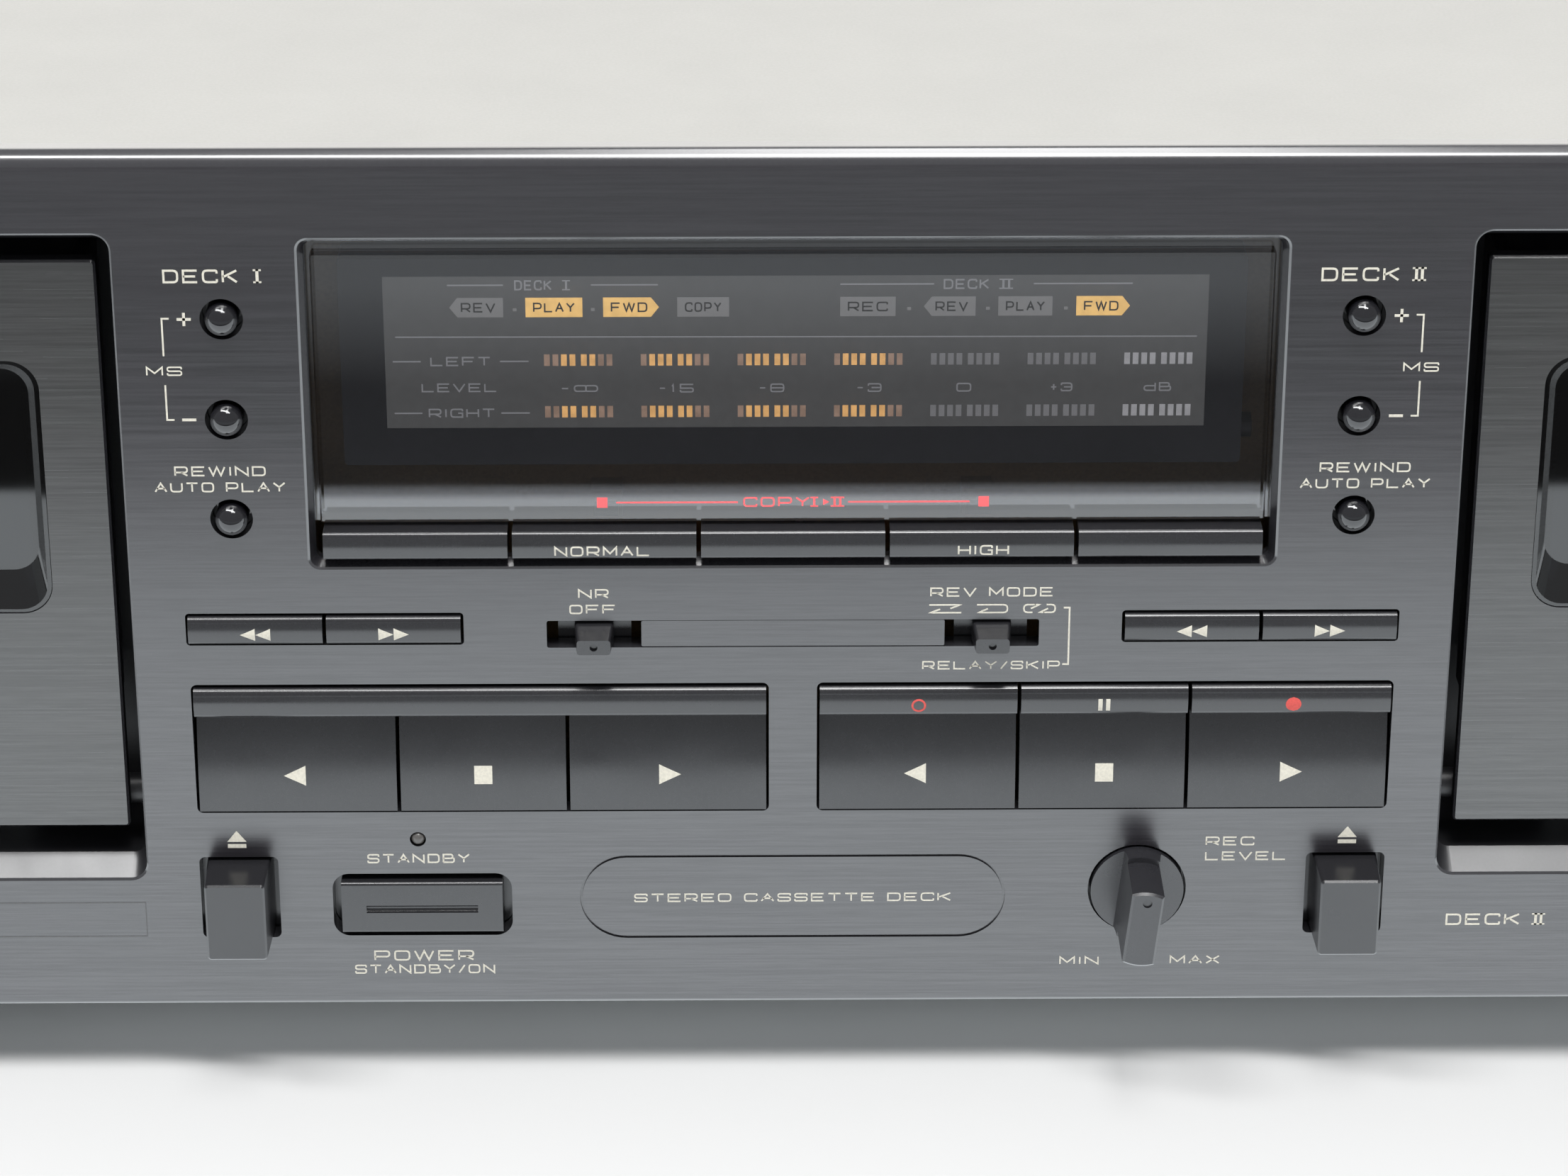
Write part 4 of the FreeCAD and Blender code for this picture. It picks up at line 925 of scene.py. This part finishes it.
# name, left, right, which end is pointed, lit or not
TAGS = (
    ("REV", -43.1, -36.35, -1, False), ("PLAY", -33.55, -26.4, 0, True),
    ("FWD", -23.8, -16.8, 1, True), ("COPY", -14.5, -8.0, 0, False),
    ("REC", 5.95, 12.9, 0, False), ("REV", 16.45, 22.95, -1, False),
    ("PLAY", 25.8, 32.6, 0, False), ("FWD", 35.6, 42.35, 1, True),
)
TAG_DOTS = (-34.9, -25.1, 14.6, 24.5, 34.3)
TAG_DOT_HALF = 0.24
TAG_DOT_SPAN = (95.95, 96.35)
LONG_RULE = ((-50.0, 92.5), (50.9, 92.3))
LONG_RULE_W = 0.16
SHORT_RULE_W = 0.18
HEAD_RULE_V = 99.45
HEAD_WORD_SPAN = (98.75, 100.1)
HEAD_NUMERAL_OUT = 1.6
HEAD_NUMERAL_WIDE = 0.7
# deck, left rule's ends, word's ends, right rule's ends
DECK_HEADS = ((1, (-43.3, -36.3), (-34.9, -30.2), (-25.3, -16.9)),
              (2, (5.95, 17.7), (18.9, 24.6), (30.2, 42.6)))
# words, left, right, foot, top, with or without the rules beside them
ROW_WORDS = (("LEFT", -45.7, -38.1, 88.55, 89.8, True),
             ("LEVEL", -46.9, -37.4, 85.0, 86.2, False),
             ("RIGHT", -46.1, -37.7, 81.5, 82.75, True))
ROW_RULES = ((-50.4, -46.9), (-36.9, -33.3))
SCALE_SPAN = (84.85, 86.05)
SCALE = (("-o", -29.4, -24.6), ("-15", -17.0, -12.5), ("-8", -4.35, -1.05),
         ("-3", 8.0, 11.25), ("0", 20.7, 22.6), ("+3", 32.5, 35.4), ("dB", 44.4, 47.9))
BAR_COUNT = 8
BAR_GROUPS = 7
BAR_LIT_GROUPS = 4
BAR_OFF_GROUPS = 6
BAR_FIRST = -31.36
BAR_GROUP_PITCH = 12.2
BAR_PITCH = 1.075
BAR_W = 0.72
BAR_SPLIT = 0.36
BAR_ROWS = ((88.55, 90.1), (81.5, 83.05))


def tag_edges(u0, u1, pointed):
    def edges(t):
        cut = abs(2.0 * t - 1.0) * TAG_POINT
        left = u0 + (cut if pointed < 0 else 0.0)
        right = u1 - (cut if pointed > 0 else 0.0)
        return left, right
    return edges


def display_print():
    screen = Print("display_screen", "display_tube", SCREEN, flat=TUBE_D)
    screen.box(*SCREEN_BOX)
    screen.make()
    unlit = Print("display_tags_unlit", "display_tube", TAG_OFF, flat=SCREEN_D)
    glow = Print("display_tags_lit", "display_tube", TAG_LIT, flat=SCREEN_D)
    letters = Print("display_tag_letters", "display_tube", TAG_DARK, flat=SCREEN_D - INK)
    for words, u0, u1, pointed, on in TAGS:
        tag = glow if on else unlit
        tag.shape(TAG_LOW, TAG_HIGH, tag_edges(u0, u1, pointed), TAG_STEPS)
        left = u0 + TAG_INSET + (TAG_POINT_INSET if pointed < 0 else 0.0)
        right = u1 - TAG_INSET - (TAG_POINT_INSET if pointed > 0 else 0.0)
        letters.text(words, left, right, TAG_LOW + TAG_WORD_INSET, TAG_HIGH - TAG_WORD_INSET)
    for u in TAG_DOTS:
        unlit.box(u - TAG_DOT_HALF, u + TAG_DOT_HALF, *TAG_DOT_SPAN, 1)
    grey = Print("display_scale", "display_tube", GREY_INK, flat=SCREEN_D)
    display_scale(grey)
    display_bars()
    for piece in (unlit, glow, letters, grey):
        piece.make()


def display_scale(grey):
    # The unlit print, given a painted glow: rules, the decks' heads, the rows' names and the
    # level scale.
    grey.line(list(LONG_RULE), LONG_RULE_W)
    for deck, left_rule, word, right_rule in DECK_HEADS:
        for rule in (left_rule, right_rule):
            grey.line([(u, HEAD_RULE_V) for u in rule], SHORT_RULE_W)
        grey.text("DECK", *word, *HEAD_WORD_SPAN)
        edge = word[1] + HEAD_NUMERAL_OUT + HEAD_NUMERAL_WIDE * deck
        numeral(grey, deck, edge, *HEAD_WORD_SPAN)
    for words, u0, u1, v0, v1, ruled in ROW_WORDS:
        grey.text(words, u0, u1, v0, v1)
        if ruled:
            v = (v0 + v1) / 2.0
            for rule in ROW_RULES:
                grey.line([(u, v) for u in rule], SHORT_RULE_W)
    for words, u0, u1 in SCALE:
        grey.text(words, u0, u1, *SCALE_SPAN)


def display_bars():
    bright = Print("display_bars_lit", "display_tube", BAR_LIT, flat=SCREEN_D)
    soft = Print("display_bars_edge", "display_tube", BAR_EDGE, flat=SCREEN_D)
    off = Print("display_bars_unlit", "display_tube", BAR_OFF, flat=SCREEN_D)
    pale = Print("display_bars_pale", "display_tube", BAR_PALE, flat=SCREEN_D)
    for group in range(BAR_GROUPS):
        for bar in range(BAR_COUNT):
            u = BAR_FIRST + group * BAR_GROUP_PITCH + bar * BAR_PITCH
            if bar >= BAR_COUNT // 2:
                u += BAR_SPLIT
            inner = min(bar, BAR_COUNT - 1 - bar)
            if group >= BAR_OFF_GROUPS:
                ink = pale
            elif group >= BAR_LIT_GROUPS:
                ink = off
            else:
                ink = bright if inner >= 2 or (inner == 1 and bar < 4 and group) else soft
            for v0, v1 in BAR_ROWS:
                ink.box(u, u + BAR_W, v0, v1, 1)
    for piece in (bright, soft, off, pale):
        piece.make()


# Light and surroundings

WHITE = (1.0, 1.0, 1.0)
WARM_WHITE = (1.0, 0.98, 0.93)
ROOM_GREY = (0.47, 0.48, 0.50)
# name, place, what it points at, width and height, power, colour
LAMPS = (
    ("key_light", (-0.15, -0.50, 1.5), (0.0, -0.1, 0.05), (1.6, 0.26), 24.0, WHITE),
    ("rim_light", (0.1, -0.1, 1.6), (0.0, -0.1, 0.1), (1.8, 0.3), 16.0, WHITE),
    ("back_light", (0.1, 1.9, 1.15), (0.0, 0.0, 0.1), (2.6, 0.9), 24.0, WARM_WHITE),
)


def area_light(name, place, target, size, power, colour):
    data = bpy.data.lights.new(name, "AREA")
    data.shape = "RECTANGLE"
    data.size, data.size_y = size
    data.energy = power
    data.color = colour
    lamp = bpy.data.objects.new(name, data)
    bpy.context.scene.collection.objects.link(lamp)
    lamp.location = place
    way = Vector(target) - Vector(place)
    lamp.rotation_euler = way.to_track_quat("-Z", "Y").to_euler()
    lamp.visible_camera = False


def make_lights():
    for lamp in LAMPS:
        area_light(*lamp)
    world = bpy.data.worlds.new("studio")
    bpy.context.scene.world = world
    world.use_nodes = True
    tree = world.node_tree
    back = tree.nodes["Background"]
    path = tree.nodes.new("ShaderNodeLightPath")
    mix = tree.nodes.new("ShaderNodeMix")
    mix.data_type = "RGBA"
    mix.inputs["A"].default_value = (*ROOM_GREY, 1.0)
    mix.inputs["B"].default_value = (*WHITE, 1.0)
    tree.links.new(path.outputs["Is Camera Ray"], mix.inputs["Factor"])
    tree.links.new(mix.outputs["Result"], back.inputs["Color"])
    back.inputs["Strength"].default_value = 1.0


FLOOR_HALF = 4.0
FLOOR_COLOUR = (0.62, 0.62, 0.615)
FLOOR_ROUGH = 0.6
# Glossy rays see a dark floor with a painted glow on it: a painted reflection.
MIRRORED_COLOUR = (0.02, 0.02, 0.02)
GLOW_COLOUR = (0.90, 0.96, 1.0)
UNDER_FADE = 0.02
TABLE_REACH = 0.185
REFLECTED_TABLE_GLOW = 2.6
TABLE_FADE = 0.003
HAZE_REACH = 0.235
HAZE_FADE = 0.05
HAZE_SHARE = 0.2


def combined(mat, operation, first, second):
    node = new_node(mat, "ShaderNodeMath", operation=operation)
    link(mat, first, node.inputs[0])
    link(mat, second, node.inputs[1])
    return node.outputs[0]


def make_floor():
    mesh = bpy.data.meshes.new("floor")
    h = FLOOR_HALF
    mesh.from_pydata([(-h, -h, 0), (h, -h, 0), (h, h, 0), (-h, h, 0)], [], [(0, 1, 2, 3)])
    floor = bpy.data.objects.new("floor", mesh)
    bpy.context.scene.collection.objects.link(floor)
    mat, shader = material("floor_pale", FLOOR_COLOUR, FLOOR_ROUGH)
    mesh.materials.append(mat)
    place = new_node(mat, "ShaderNodeTexCoord")
    parts = new_node(mat, "ShaderNodeSeparateXYZ")
    link(mat, place.outputs["Object"], parts.inputs[0])
    # Painted reflection: only glossy rays see it. They see a painted bright table that ends a
    # little way in front of the deck, then a dark gap, then the pale room beyond it.
    path = new_node(mat, "ShaderNodeLightPath")
    y = parts.outputs["Y"]
    near = spread(mat, y, FACE_Y - TABLE_REACH - TABLE_FADE, FACE_Y - TABLE_REACH, 0.0, 1.0)
    # Painted shade: the glow ends under the deck.
    under = spread(mat, y, FACE_Y, FACE_Y + UNDER_FADE, 1.0, 0.0)
    far = spread(mat, y, FACE_Y - HAZE_REACH - HAZE_FADE, FACE_Y - HAZE_REACH, HAZE_SHARE, 0.0)
    bright = combined(mat, "MULTIPLY", near, under)
    seen = combined(mat, "ADD", bright, far)
    gloss = combined(mat, "MULTIPLY", seen, path.outputs["Is Glossy Ray"])
    glow = new_node(mat, "ShaderNodeMath", {1: REFLECTED_TABLE_GLOW}, operation="MULTIPLY")
    link(mat, gloss, glow.inputs[0])
    shader.inputs["Emission Color"].default_value = (*GLOW_COLOUR, 1.0)
    link(mat, glow.outputs[0], shader.inputs["Emission Strength"])
    # Glossy rays see the dark colour under the painted glow; all other rays see the pale floor.
    mix = new_node(mat, "ShaderNodeMix", data_type="RGBA")
    mix.inputs["A"].default_value = (*FLOOR_COLOUR, 1.0)
    mix.inputs["B"].default_value = (*MIRRORED_COLOUR, 1.0)
    link(mat, path.outputs["Is Glossy Ray"], mix.inputs["Factor"])
    link(mat, mix.outputs["Result"], shader.inputs["Base Color"])


make_camera()
finish_nodes()
panel_print()
key_print()
lens_print()
display_print()
back_print()
make_lights()
make_floor()

bpy.context.scene.view_settings.view_transform = "Standard"

bpy.context.view_layer.update()
